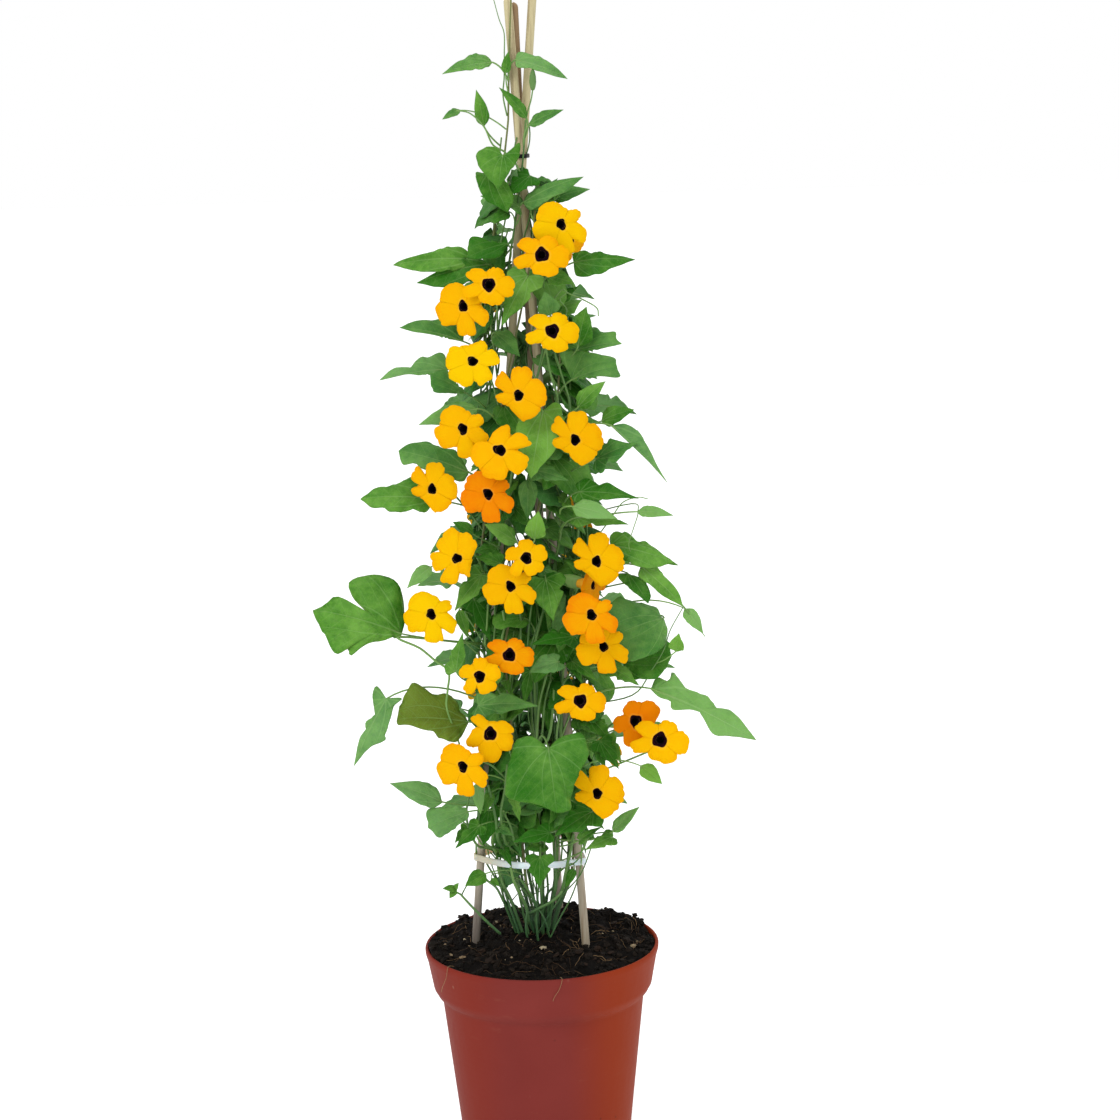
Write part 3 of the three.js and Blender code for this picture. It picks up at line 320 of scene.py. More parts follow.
def lumpShape():  # a ball of 80 triangles for crumbs and chips
    t = (1 + 5 ** 0.5) / 2
    corners = [(-1, t, 0), (1, t, 0), (-1, -t, 0), (1, -t, 0), (0, -1, t), (0, 1, t),
               (0, -1, -t), (0, 1, -t), (t, 0, -1), (t, 0, 1), (-t, 0, -1), (-t, 0, 1)]
    faces = [(0, 11, 5), (0, 5, 1), (0, 1, 7), (0, 7, 10), (0, 10, 11), (1, 5, 9), (5, 11, 4), (11, 10, 2),
             (10, 7, 6), (7, 1, 8), (3, 9, 4), (3, 4, 2), (3, 2, 6), (3, 6, 8), (3, 8, 9), (4, 9, 5),
             (2, 4, 11), (6, 2, 10), (8, 6, 7), (9, 8, 1)]
    corners = [unit(vec(*c)) for c in corners]
    middles, finer = {}, []

    def between(a, b):
        key = (min(a, b), max(a, b))
        if key not in middles:
            middles[key] = len(corners)
            corners.append(unit(corners[a] + corners[b]))
        return middles[key]

    for a, b, c in faces:
        ab, bc, ca = between(a, b), between(b, c), between(c, a)
        finer += [(a, ab, ca), (b, bc, ab), (c, ca, bc), (ab, bc, ca)]
    return np.array(corners), np.array(finer)


# shader sockets as values

class Value:
    def __init__(self, paint, socket):
        self.paint, self.socket = paint, socket

    def calc(self, operation, *values):
        return self.paint.node("Math", {"operation": operation}, dict(enumerate(values)))

    def __add__(self, other):
        return self.calc("ADD", self, other)

    def __radd__(self, other):
        return self.calc("ADD", other, self)

    def __sub__(self, other):
        return self.calc("SUBTRACT", self, other)

    def __rsub__(self, other):
        return self.calc("SUBTRACT", other, self)

    def __mul__(self, other):
        return self.calc("MULTIPLY", self, other)

    def __rmul__(self, other):
        return self.calc("MULTIPLY", other, self)

    def __truediv__(self, other):
        return self.calc("DIVIDE", self, other)

    def __pow__(self, other):
        return self.calc("POWER", self, other)

    def size(self):  # without its sign
        return self.calc("ABSOLUTE", self)

    def wave(self):
        return self.calc("SINE", self)

    def over(self, other):  # the angle from both parts
        return self.calc("ARCTAN2", self, other)

    def apart(self, spacing):  # back and forth from 0 to spacing
        return self.calc("PINGPONG", self, spacing)

    def most(self, other):
        return self.calc("MAXIMUM", self, other)

    def step(self, low, high, start=0.0, end=1.0):  # smooth step from low to high
        ends = {"Value": self, "From Min": low, "From Max": high, "To Min": start, "To Max": end}
        return self.paint.node("MapRange", {"interpolation_type": "SMOOTHSTEP"}, ends)


class Paint:
    def __init__(self, name):
        self.material = bpy.data.materials.new(name)
        self.material.use_nodes = True
        self.tree = self.material.node_tree
        self.tree.nodes.clear()

    def node(self, kind, settings=None, sockets=None, output=0):
        made = self.tree.nodes.new("ShaderNode" + kind)
        for key, value in (settings or {}).items():
            setattr(made, key, value)
        for key, value in (sockets or {}).items():
            if isinstance(value, Value):
                self.tree.links.new(value.socket, made.inputs[key])
            else:
                made.inputs[key].default_value = value
        return Value(self, made.outputs[output])

    def attribute(self, name):
        return self.node("Attribute", {"attribute_name": name}, output="Vector")

    def parts(self, vector):
        split = self.node("SeparateXYZ", None, {0: vector})
        outputs = split.socket.node.outputs
        return [Value(self, outputs[k]) for k in range(3)]

    def spot(self):
        return self.node("TexCoord", output="Object")

    def stretched(self, vector, scale):
        return self.node("VectorMath", {"operation": "MULTIPLY"}, {0: vector, 1: scale})

    def shifted(self, vector, amount):
        return self.node("VectorMath", {"operation": "ADD"}, {0: vector, 1: amount})

    def joined(self, x, y, z):
        return self.node("CombineXYZ", None, {0: x, 1: y, 2: z})

    def clouds(self, vector, scale, detail=3, rough=0.55):
        sockets = {"Vector": vector, "Scale": scale, "Detail": detail, "Roughness": rough}
        return self.node("TexNoise", None, sockets)

    def cells(self, vector, scale, feature="F1"):
        return self.node("TexVoronoi", {"feature": feature}, {"Vector": vector, "Scale": scale})

    def mixed(self, a, b, share):  # 6, 7 and 2 are the colour sockets of a mix node
        colors = {key: (*c, 1) if isinstance(c, tuple) else c for key, c in ((6, a), (7, b))}
        return self.node("Mix", {"data_type": "RGBA"}, {0: share, **colors}, output=2)

    def bump(self, height, strength, distance):
        return self.node("Bump", None, {"Height": height, "Strength": strength, "Distance": distance})

    def finish(self, color, roughness, normal=None, **constants):
        sockets = {"Base Color": color, "Roughness": roughness}
        if normal is not None:
            sockets["Normal"] = normal
        names = {key.replace("_", " "): value for key, value in constants.items()}
        shader = self.node("BsdfPrincipled", None, {**sockets, **names})
        end = self.tree.nodes.new("ShaderNodeOutputMaterial")
        self.tree.links.new(shader.socket, end.inputs["Surface"])
        return self.material


# pot

pot = {
    "height": 130,
    "baseRadius": 54,
    "bodyTop": (65, 97.5),
    "bandFoot": (70.5, 105.5),
    "rimRadius": 75,
    "lip": 2.2,
    "wall": 1.7,
    "floor": 2.4,
    "drains": 4,
    "drainRadius": 5,
    "drainRing": 38,
    "drainDepth": 4,
    "drainSides": 32,
    "sides": 144,
    "uneven": 0.12,
    "color": (0.18, 0.028, 0.023),
    "shadeColor": (0.15, 0.021, 0.017),
    # painted shade on the pot's left side and painted light on its right side
    "leftPaintedShade": (0.175, 0.019, 0.01),
    "rightPaintedLight": (0.235, 0.027, 0.004),
    "dustColor": (0.23, 0.07, 0.045),
    "speckColor": (0.3, 0.17, 0.12),
    "pitColor": (0.03, 0.012, 0.008),
    "roughness": 0.5,
    "shine": 0.06,
}


def potPaint():
    p = Paint("potPlastic")
    spot = p.spot()
    broad = p.clouds(spot, 9, 3)
    fine = p.clouds(p.stretched(spot, (1, 1, 0.25)), 240, 2)
    scuff = p.clouds(p.stretched(spot, (1, 1, 3)), 38, 4, 0.7).step(0.6, 0.78)
    x, y, z = p.parts(spot)
    color = p.mixed(pot["shadeColor"], pot["color"], broad.step(0.3, 0.62) * z.step(0.02, 0.11, 0.35, 1))
    # painted light and shade: the left side darker and the right side lighter and warmer, as the light falls
    # on the pot
    color = p.mixed(color, pot["leftPaintedShade"], x.step(-0.02, -0.05, 0, 0.9))
    color = p.mixed(color, pot["rightPaintedLight"], x.step(0.01, 0.05, 0, 0.9))
    color = p.mixed(color, pot["dustColor"], scuff * 0.22)
    specks = p.cells(p.stretched(spot, (1, 1, 0.6)), 95).step(0.09, 0.05)
    color = p.mixed(color, pot["speckColor"], specks * p.clouds(spot, 30, 2).step(0.52, 0.62) * 0.5)
    pits = p.cells(p.shifted(spot, (1, 2, 3)), 80).step(0.08, 0.04)
    color = p.mixed(color, pot["pitColor"], pits * p.clouds(spot, 22, 2).step(0.5, 0.62) * 0.45)
    rings = (z * 1500).wave() * 0.12
    rough = pot["roughness"] + fine * 0.12 + scuff * 0.14
    return p.finish(color, rough, p.bump(fine + rings, 0.12, 0.0006), Specular_IOR_Level=pot["shine"])


def cutDrains(body):  # round holes through the floor
    for k in range(pot["drains"]):
        angle = 2 * math.pi * (k + 0.5) / pot["drains"]
        middle = vec(pot["drainRing"] * math.cos(angle), pot["drainRing"] * math.sin(angle), 1) * mm
        bpy.ops.mesh.primitive_cylinder_add(vertices=pot["drainSides"], radius=pot["drainRadius"] * mm,
                                            depth=pot["drainDepth"] * mm, location=middle)
        cutter = bpy.context.object
        hole = body.modifiers.new("drain", "BOOLEAN")
        hole.object = cutter
        bpy.context.view_layer.objects.active = body
        bpy.ops.object.modifier_apply(modifier=hole.name)
        bpy.data.objects.remove(cutter)


def makePot():
    base, rim, wall, lip = pot["baseRadius"], pot["rimRadius"], pot["wall"], pot["lip"]
    floor, top = pot["floor"], pot["height"]
    bodyRadius, bodyZ = pot["bodyTop"]
    bandRadius, bandZ = pot["bandFoot"]

    def onBody(share):
        return blend(base, bodyRadius, share), bodyZ * share

    def onBand(share):
        return blend(bandRadius, rim, share), blend(bandZ, top, share)

    profile = [
        (0, 0.5), (base - 8, 0.5), (base - 5.5, 0.05),  # under the floor
        (base - 1.6, 0), (base - 0.6, 0.3), (base - 0.1, 0.9), (base + 0.05, 1.6),
        onBody(0.25), onBody(0.5), onBody(0.75),
        (bodyRadius - 0.15, bodyZ - 1.5), (bodyRadius + 0.1, bodyZ - 0.2), (bodyRadius + 0.8, bodyZ + 0.9),
        (blend(bodyRadius, bandRadius, 0.6), bandZ - 5), (bandRadius - 1.2, bandZ - 2.9),  # step to the band
        (bandRadius - 0.35, bandZ - 1.6), (bandRadius, bandZ - 0.2), (bandRadius + 0.15, bandZ + 0.8),
        onBand(0.33), onBand(0.66),
        (rim - 0.35, top - 4.2), (rim - 0.1, top - 3.2), (rim, top - 1.2),  # rolled lip
        (rim - 0.2, top - 0.5), (rim - 0.7, top - 0.08), (rim - 1.2, top), (rim - 1.8, top - 0.15),
        (rim - lip, top - 0.8), (rim - lip - 0.1, top - 2),
        (bandRadius - wall, bandZ + 1), (bodyRadius - wall, bodyZ),  # inside
        (base - wall - 0.4, floor + 1.5), (base - wall - 1.6, floor), (0, floor),
    ]
    skin = Skin("nurseryPot", [potPaint()], "pot_plastic")

    def slightlyUneven(r, h, angles):
        return r - pot["uneven"] * (1 + np.cos(2 * angles + 0.6)) * (h > 4), h

    addLathe(skin, profile, pot["sides"], shape=slightlyUneven)
    cutDrains(skin.make("pot"))
    print("pot made")


# soil

soil = {
    "frontZ": 127,
    "backRise": 5,
    "mound": 9,
    "settled": 1.4,
    "edgeDip": 1.2,
    "radius": 72.4,
    "rings": 70,
    "sides": 190,
    "walls": [(51.2, 2.9), (62.8, 96.5), (68.2, 105.5)],  # radius and height down inside the pot
    "wallTop": 124.5,
    "lumps": [(3.2, 15, 0), (2.3, 6.5, 3), (1.2, 2.8, 7), (0.6, 1.3, 9)],  # height, size, seed
    "rimHeap": 3.2,
    "crumbs": 1150,
    "crumbSizes": (0.5, 0.7, 0.9, 1.3, 2.0),
    "rimCrumbs": 90,
    "rimCrumbSizes": (0.9, 2.0),
    "chips": 70,
    "chipSizes": (1.2, 3.0),
    "grit": 30,
    "gritSizes": (0.4, 1.2),
    "fibres": 150,
    "fibreLengths": (6, 9, 14, 22),
    "fibreRadius": (0.1, 0.22),
    "rootlets": [((-58, -46), 16), ((12, -73.4), 14)],  # start, and how far they hang over the rim
    "rootletRadius": 0.16,
    "heaps": [  # x, y, height
        (20, 50, 6), (44, 40, 5.5), (58, 28, 4.5), (34, 24, 3),
        (-30, 40, 3), (-52, 20, 3), (-69, -4, 4), (-66, -20, 3),
    ],
    "heapSpread": 60,
    "stones": [  # x, y, size, tone
        (1, -26, 1.7, 0.7), (-58, -22, 1.5, 0.1), (-50, -30, 1.3, 0), (-62, -8, 1.3, 0.1),
        (58, -16, 1.9, 0.25),
    ],
    "peat": (0.004, 0.003, 0.0025),
    "dryPeat": (0.022, 0.015, 0.01),
    "darkBark": (0.01, 0.006, 0.004),
    "bark": (0.02, 0.011, 0.007),
    "darkStraw": (0.05, 0.028, 0.015),
    "straw": (0.27, 0.17, 0.085),
    "darkStone": (0.2, 0.14, 0.08),
    "stone": (0.42, 0.36, 0.24),
    "shine": 0.08,
    "lumpShine": 0.12,
}


def soilHeight(x, y):
    reach = min(math.hypot(x, y) / soil["radius"], 1)
    rise = soil["backRise"] * (y / pot["rimRadius"] + 1) / 2
    plain = soil["frontZ"] + rise + soil["mound"] * (1 - reach ** 2)
    at = (x, y, 3.0)
    rough = sum(height * lump(at, size, seed) for height, size, seed in soil["lumps"])
    heaped = 0
    for middleX, middleY, height in soil["heaps"]:
        away = (x - middleX) ** 2 + (y - middleY) ** 2
        heaped += height * math.exp(-away / soil["heapSpread"])
    heaped += soil["rimHeap"] * float(smooth(0.86, 0.97, reach)) * max(0.2 + lump(at, 13, 5), 0) * 1.6
    rough = rough * (1 - 0.25 * reach ** 4)
    return plain - soil["settled"] + rough + heaped - soil["edgeDip"] * reach ** 8


def peatPaint():
    p = Paint("peat")
    spot = p.spot()
    coarse = p.clouds(spot, 95, 5, 0.65)
    fine = p.clouds(spot, 520, 4, 0.7)
    threads = p.clouds(p.stretched(spot, (1, 0.16, 1)), 620, 3)
    color = p.mixed(soil["peat"], soil["dryPeat"], coarse.step(0.48, 0.72) * fine.step(0.35, 0.7))
    color = p.mixed(color, soil["straw"], threads.step(0.7, 0.78) * 0.3)
    return p.finish(color, 0.7 + fine * 0.25, p.bump(fine + coarse, 1.0, 0.0016),
                    Specular_IOR_Level=soil["shine"])


def grainPaint(name, dark, light, scale, roughness):
    p = Paint(name)
    spot = p.spot()
    tone = p.parts(p.attribute("kind"))[0]
    patch = p.clouds(spot, scale, 4, 0.65)
    color = p.mixed(dark, light, (patch * 0.7 + tone * 0.6 - 0.15).step(0.15, 0.85))
    return p.finish(color, roughness, p.bump(patch, 0.6, 0.0006), Specular_IOR_Level=soil["lumpShine"])


def makeSoil():
    rings, sides = soil["rings"], soil["sides"]
    skin = Skin("peat", [peatPaint()], "peat")
    points = []
    for k in range(rings, 0, -1):
        radius = soil["radius"] * (k / rings) ** 0.85
        for s in range(sides):
            angle = 2 * math.pi * (s + 0.5 * (k % 2)) / sides
            x, y = radius * math.cos(angle), radius * math.sin(angle)
            points.append((x, y, soilHeight(x, y)))
    walls = soil["walls"] + [(soil["radius"], soil["wallTop"])]
    circle = 2 * math.pi * np.arange(sides) / sides
    points = [(radius * math.cos(a), radius * math.sin(a), z) for radius, z in walls for a in circle] + points
    first = skin.add(np.array(points + [(0, 0, walls[0][1]), (0, 0, soilHeight(0, 0))]))
    rows = rings + len(walls)
    skin.faces(gridQuads(rows, sides, True), first)
    closeEnds(skin, first, rows, sides)
    skin.make("soil")
    scatterSoil()
    print("soil made")


def scatterSoil():
    draw = random.Random(11)
    corners, triangles = lumpShape()

    def placeLump(skin, x, y, size, flat, sink, tone):
        shape = np.array([c * (1 + 0.7 * lump(c * 2, 1.1, x + y)) for c in corners])
        stretch = vec(draw.uniform(0.7, 1.5), draw.uniform(0.7, 1.2), flat)
        spin = Matrix.Rotation(draw.uniform(0, 6.3), 3, "Z")
        tilt = Matrix.Rotation(draw.uniform(-0.6, 0.6), 3, "X")
        shape = (shape * stretch * size) @ np.array(spin @ tilt).T
        first = skin.add(shape + vec(x, y, soilHeight(x, y) + sink * size), kinds=(tone, 0, 0))
        skin.faces(triangles, first, isSmooth=size < 1.2)

    def anywhere(reach=0.985):
        radius = soil["radius"] * reach * math.sqrt(draw.random())
        angle = draw.uniform(0, 2 * math.pi)
        return radius * math.cos(angle), radius * math.sin(angle)

    crumbs = Skin("peatCrumbs", [grainPaint("crumb", soil["peat"], soil["dryPeat"], 420, 0.9)], "peat")
    for _ in range(soil["crumbs"]):
        x, y = anywhere()
        size = draw.choice(soil["crumbSizes"])
        placeLump(crumbs, x, y, size, flat=0.8, sink=0.15, tone=draw.random() * 0.5)
    for _ in range(soil["rimCrumbs"]):  # crumbs heaped against the rim, half of them at the left
        angle = draw.choice((draw.uniform(0, 2 * math.pi), draw.gauss(3.3, 0.25)))
        reach = draw.uniform(0.955, 0.995) * soil["radius"]
        x, y = reach * math.cos(angle), reach * math.sin(angle)
        placeLump(crumbs, x, y, draw.uniform(*soil["rimCrumbSizes"]), flat=0.8, sink=0.3, tone=0.3)
    crumbs.make()
    chips = Skin("barkChips", [grainPaint("bark", soil["darkBark"], soil["bark"], 300, 0.8)], "peat")
    for _ in range(soil["chips"]):
        x, y = anywhere(0.95)
        placeLump(chips, x, y, draw.uniform(*soil["chipSizes"]), flat=0.4, sink=0.2, tone=draw.random())
    chips.make()
    grit = Skin("paleGrit", [grainPaint("grit", soil["darkStone"], soil["stone"], 500, 0.7)], "peat")
    for _ in range(soil["grit"]):
        x, y = anywhere(0.93)
        size = draw.uniform(*soil["gritSizes"])
        placeLump(grit, x, y, size, flat=0.7, sink=0.35, tone=draw.random() * 0.6)
    for x, y, size, tone in soil["stones"]:
        placeLump(grit, x, y, size, flat=0.6, sink=0.5, tone=tone)
    grit.make()
    fibres = Skin("peatFibres", [grainPaint("fibre", soil["darkStraw"], soil["straw"], 200, 0.75)], "peat")
    steps = 8
    for _ in range(soil["fibres"]):
        x, y = anywhere(0.93)
        heading, length = draw.uniform(0, 2 * math.pi), draw.choice(soil["fibreLengths"])
        curl, rise = draw.uniform(-0.09, 0.09), draw.uniform(0.2, 1.6)
        path = []
        for k in range(steps + 1):
            if math.hypot(x, y) > soil["radius"] * 0.97:
                break
            path.append((x, y, soilHeight(x, y) + 0.3 + rise * math.sin(math.pi * (k / steps))))
            heading += curl * length / steps + draw.uniform(-0.25, 0.25)
            x, y = x + math.cos(heading) * length / steps, y + math.sin(heading) * length / steps
        if len(path) > 4:
            radius, tone = draw.uniform(*soil["fibreRadius"]), draw.random() ** 3 * 0.8
            addTube(fibres, path, radius, 4, kind=(tone, 0, 0))
    for start, droop in soil["rootlets"]:
        addTube(fibres, rootletPath(start, droop), soil["rootletRadius"], 4, kind=(0.95, 0, 0))
    fibres.make()


def rootletPath(start, droop):  # over the rim and down outside the pot
    outward = unit(vec(*start, 0))
    rim = outward * (pot["rimRadius"] + 0.5)
    top = pot["height"]
    return throughPoints([
        outward * 70 + vec(0, 0, top),
        outward * 73.5 + vec(0, 0, top + 1),
        rim + vec(0.4, 0, top + 0.2),
        rim + vec(-1.2, 0, top - droop * 0.4) - outward * 0.5,
        rim + vec(-4.4, 0, top - droop * 0.8) - outward * 1.2,
        rim + vec(-5.4, 0, top - droop) - outward * 1.6,
    ], 4)


# canes and ties

canes = {
    "radius": 2.8,
    "footZ": 40,
    "ringsFrom": 120,
    "rings": 70,
    "sides": 24,
    "tipRound": 3,
    "tipRadius": 3.1,
    "tipRings": (1, 1.9, 2.5, 2.85),
    "joints": [(190, 7), (330, 5), (470, -4), (600, 2)],  # height, and shift for each letter of its name
    "jointLength": 2.2,
    "jointSwell": 0.14,
    "front_left": {"foot": (-42, -5, 135), "head": (10, 3.9, 721), "topZ": 725},
    "front_right": {"foot": (28, -20, 135), "head": (-4.7, -1.6, 721), "topZ": 723},
    "back": {"foot": (11.5, 41, 144), "head": (-1.2, 3.5, 721), "topZ": 720},
    "pale": (0.48, 0.42, 0.23),
    "weathered": (0.34, 0.3, 0.24),
    "streak": (0.16, 0.1, 0.05),
    "brown": (0.25, 0.15, 0.065),
    # painted shade for the foot of the left cane
    "footShade": (0.05, 0.042, 0.045),
    "roughness": 0.55,
    "shine": 0.3,
}


def canePoint(name, z):
    foot, head = np.array(canes[name]["foot"], float), np.array(canes[name]["head"], float)
    return blend(foot, head, (z - foot[2]) / (head[2] - foot[2]))


def canePaint(name, pale, brown):
    p = Paint(name)
    spot = p.spot()
    x, y, z = p.parts(spot)
    grain = p.clouds(p.stretched(spot, (1, 1, 0.035)), 900, 4, 0.6)
    streaks = p.clouds(p.stretched(spot, (1, 1, 0.05)), 300, 3)
    patches = p.clouds(p.stretched(spot, (1, 1, 0.4)), 26, 3)
    aged = z.step(0.62, 0.38) * 0.75 + patches * 0.3
    color = p.mixed(pale, brown, aged)
    color = p.mixed(color, canes["streak"], streaks.step(0.47, 0.72) * 0.72)
    color = p.mixed(color, canes["streak"], z.step(0.156, 0.136) * 0.3)
    # painted shade: the foot of the left cane darker and greyer where the leaves shade it
    color = p.mixed(color, canes["footShade"], z.step(0.19, 0.14) * x.step(-0.02, -0.034) * 0.65)
    rough = canes["roughness"] + grain * 0.2
    return p.finish(color, rough, p.bump(grain, 0.5, 0.0005), Specular_IOR_Level=canes["shine"])


def makeCane(name, paint, slot):
    cane = canes[name]
    skin = Skin(f"{name}Cane".replace("_", ""), [paint], slot)
    shoulder = cane["topZ"] - canes["tipRound"]
    shaft = np.linspace(canes["ringsFrom"], shoulder, canes["rings"])
    heights = np.concatenate([[canes["footZ"]], shaft, shoulder + vec(*canes["tipRings"])])
    path = np.array([canePoint(name, z) for z in heights])
    seed = len(name)
    joints = [z + shift * seed for z, shift in canes["joints"]]
    radii = []
    for z in heights:
        swell = canes["jointSwell"] * sum(math.exp(-((z - j) / canes["jointLength"]) ** 2) for j in joints)
        radius = canes["radius"] * (0.95 + 0.04 * noise.noise(Vector((seed, 0, z / 60)))) - 0.1 + swell
        past = z - cane["topZ"] + canes["tipRound"]
        rounded = math.sqrt(max(1 - max(0, past / canes["tipRadius"]) ** 2, 0.04))
        radii.append(min(radius, canes["radius"]) * rounded)

    def grooved(along, angles):  # faint flutes down the cane
        return 1 + 0.012 * np.sin(5 * angles + along / 40) + 0.008 * np.sin(11 * angles)

    addTube(skin, path, radii, canes["sides"], up=(0, 1, 0.1), ripple=grooved)
    skin.make(f"cane_{name}")


ties = {
    "ring": {"z": 187, "height": 4.2, "thickness": 1.2, "clearance": 0.5, "bulges": (12, 2, 2)},
    "top": {"z": 627.5, "height": 2.4, "thickness": 1, "clearance": 0.4, "bulges": (0, 0, 0)},
    "ringColor": (0.86, 0.87, 0.86),
    "ringShade": (0.7, 0.73, 0.74),
    "ringStain": (0.62, 0.5, 0.36),
    "topColor": (0.008, 0.008, 0.01),
    "topShade": (0.004, 0.004, 0.005),
    "ringRoughness": 0.28,
    "topRoughness": 0.5,
    "topShine": 0.12,
    "turnSteps": 12,
    "runSteps": 18,
    "corner": 0.62,
}


def bandPath(tie):  # round each cane, and across to the next one
    centres = [canePoint(name, tie["z"]) for name in ("front_left", "front_right", "back")]
    middle = sum(centres) / 3
    centres.sort(key=lambda c: math.atan2(c[1] - middle[1], c[0] - middle[0]))
    reach = canes["radius"] + tie["clearance"] + tie["thickness"] / 2
    path = []
    for i, centre in enumerate(centres):
        before, after = centres[i - 1], centres[(i + 1) % 3]
        start = math.atan2(centre[1] - before[1], centre[0] - before[0]) - math.pi / 2
        end = math.atan2(after[1] - centre[1], after[0] - centre[0]) - math.pi / 2
        while end < start:
            end += 2 * math.pi
        for angle in np.linspace(start, end, ties["turnSteps"]):
            path.append(centre + reach * vec(math.cos(angle), math.sin(angle), 0))
        for share in np.linspace(0, 1, ties["runSteps"])[1:-1]:
            out = reach + tie["bulges"][i] * 4 * share * (1 - share)
            path.append(blend(centre, after, share) + out * vec(math.cos(end), math.sin(end), 0))
    return np.array(path)


def makeTie(name, tie, paint, slot, node):
    path = bandPath(tie)
    ahead = np.roll(path, -1, axis=0) - np.roll(path, 1, axis=0)
    out = np.stack([ahead[:, 1], -ahead[:, 0], 0 * ahead[:, 0]], axis=1)
    out /= np.linalg.norm(out, axis=1)[:, None]
    half, high = tie["thickness"] / 2, tie["height"]
    near = ties["corner"] * half  # the band's edges are rounded
    section = [(near, 0), (half, 0.12), (half, 0.88), (near, 1),
               (-near, 1), (-half, 0.88), (-half, 0.12), (-near, 0)]
    rings = [path + out * reach + vec(0, 0, high * share) for reach, share in section]
    points = np.stack(rings, axis=1)
    count, sides = points.shape[:2]
    skin = Skin(name, [paint], slot)
    first = skin.add(points.reshape(-1, 3))
    a = (np.arange(count)[:, None] * sides + np.arange(sides)[None, :]).ravel()
    b = (np.arange(count)[:, None] * sides + (np.arange(sides)[None, :] + 1) % sides).ravel()
    total = sides * count
    skin.faces(np.stack([a, (a + sides) % total, (b + sides) % total, b], axis=1), first)
    skin.make(node)


def tiePaint(name, light, dark, stain, roughness, **constants):
    p = Paint(name)
    spot = p.spot()
    haze = p.clouds(p.stretched(spot, (1, 1, 4)), 60, 3)
    x = p.parts(spot)[0]
    color = p.mixed(dark, light, haze.step(0.3, 0.65))
    color = p.mixed(color, stain, x.step(-0.015, -0.034))
    return p.finish(color, roughness + haze * 0.15, p.bump(haze, 0.2, 0.0004), **constants)


def makeCanesAndTies():
    pale = canePaint("paleCane", canes["pale"], canes["weathered"])
    brown = canePaint("brownCane", canes["brown"], canes["weathered"])
    makeCane("front_left", pale, "cane_pale")
    makeCane("front_right", pale, "cane_pale")
    makeCane("back", brown, "cane_brown")
    white = tiePaint("whiteTie", ties["ringColor"], ties["ringShade"], ties["ringStain"],
                     ties["ringRoughness"], Subsurface_Weight=0.3)
    makeTie("ringTie", ties["ring"], white, "tie_white", "ring_tie")
    black = tiePaint("blackTie", ties["topColor"], ties["topShade"], ties["topShade"],
                     ties["topRoughness"], Specular_IOR_Level=ties["topShine"])
    makeTie("topTie", ties["top"], black, "tie_black", "top_tie")
    print("canes and ties made")


# stems

stems = {
    "radius": 1.0,
    "tip": 0.5,
    "centre": (1, 3),
    "spread": [  # height, radius of the ring that the stems stand on
        (120, 5.5), (138, 6.5), (152, 11), (172, 19), (190, 21), (250, 28),
        (330, 37), (430, 33), (520, 27), (600, 17), (650, 11), (725, 12),
    ],
    "starts": [209, 239, 269, 299, 330, 0, 31, 60, 88, 118, 147, 177],
    "tops": [600, 575, 590, 560, 605, 520, 580, 640, 722, 585, 650, 610],
    "levels": [139, 170, 210, 270, 330, 380, 430, 480, 530, 580, 625, 665, 695],
    "windFrom": 330,
    "windTo": 725,
    "windTurn": 170,
    "sway": 4,
    "swayLength": 38,
    "swayShift": 2.1,
    "straightTo": 138,
    "rootZ": 124,
    "lowestJointZ": 150,
    "bendsTo": 200,  # the lowest part bends most and has the closest rings
    "sides": 8,
    "knotSwell": 0.22,
    "knotLength": 3.5,
    "dark": (0.03, 0.105, 0.014),
    "bright": (0.21, 0.38, 0.09),
    "ripe": (0.17, 0.1, 0.03),
    "shaded": (0.022, 0.085, 0.035),
    "fibre": (0.1, 0.22, 0.05),
    "roughness": 0.5,
}


def stemPoint(index, z, share=1.0):
    rise = min(max((z - stems["windFrom"]) / (stems["windTo"] - stems["windFrom"]), 0), 1)
    sway = stems["sway"] * math.sin(z / stems["swayLength"] + index * stems["swayShift"]) * min(4 * rise, 1)
    angle = math.radians(stems["starts"][index] + stems["windTurn"] * rise + sway)
    heights, radii = zip(*stems["spread"])
    radius = share * np.interp(max(z, stems["straightTo"]), heights, radii)
    x, y = stems["centre"]
    return vec(x + radius * math.cos(angle), y + radius * math.sin(angle), z)


def pathPoint(index, z):  # on the straight runs between the stem's levels
    top = stems["tops"][index]
    heights = [stems["rootZ"]] + [level for level in stems["levels"] if level < top - 8] + [top]
    after = next((k for k, level in enumerate(heights) if level >= z), 1)
    after = max(after, 1)
    low, high = heights[after - 1], heights[after]
    return blend(stemPoint(index, low), stemPoint(index, high), (z - low) / (high - low))


def nearestJoint(point, drop):  # where a stalk leaves its stem, and which stem that is
    best = None
    for index, top in enumerate(stems["tops"]):
        joint = pathPoint(index, max(min(point[2] - drop, top - 1), stems["lowestJointZ"]))
        distance = np.linalg.norm(joint - point)
        if best is None or distance < best[2]:
            best = (index, joint, distance)
    return best[0], best[1]


def addStem(skin, index):
    top, bendsTo = stems["tops"][index], stems["bendsTo"]
    low = np.linspace(stems["rootZ"], bendsTo, 14)[:-1]
    heights = np.concatenate([low, np.linspace(bendsTo, top, int((top - bendsTo) / 7))])
    path = np.array([stemPoint(index, z) for z in heights])
    share = (heights - heights[0]) / (top - heights[0])
    radii = blend(stems["radius"], stems["tip"], share ** 1.3)

    def swell(z):
        return max(math.exp(-((z - level) / stems["knotLength"]) ** 2) for level in stems["levels"])

    knots = 1 + stems["knotSwell"] * np.array([swell(z) for z in heights])
    tone = (0.05 + 0.45 * scatter(index), 0.5 * (scatter(index + 40) > 0.75), 0)
    addTube(skin, path, radii * knots, stems["sides"], paint=1, kind=tone)


# leaves

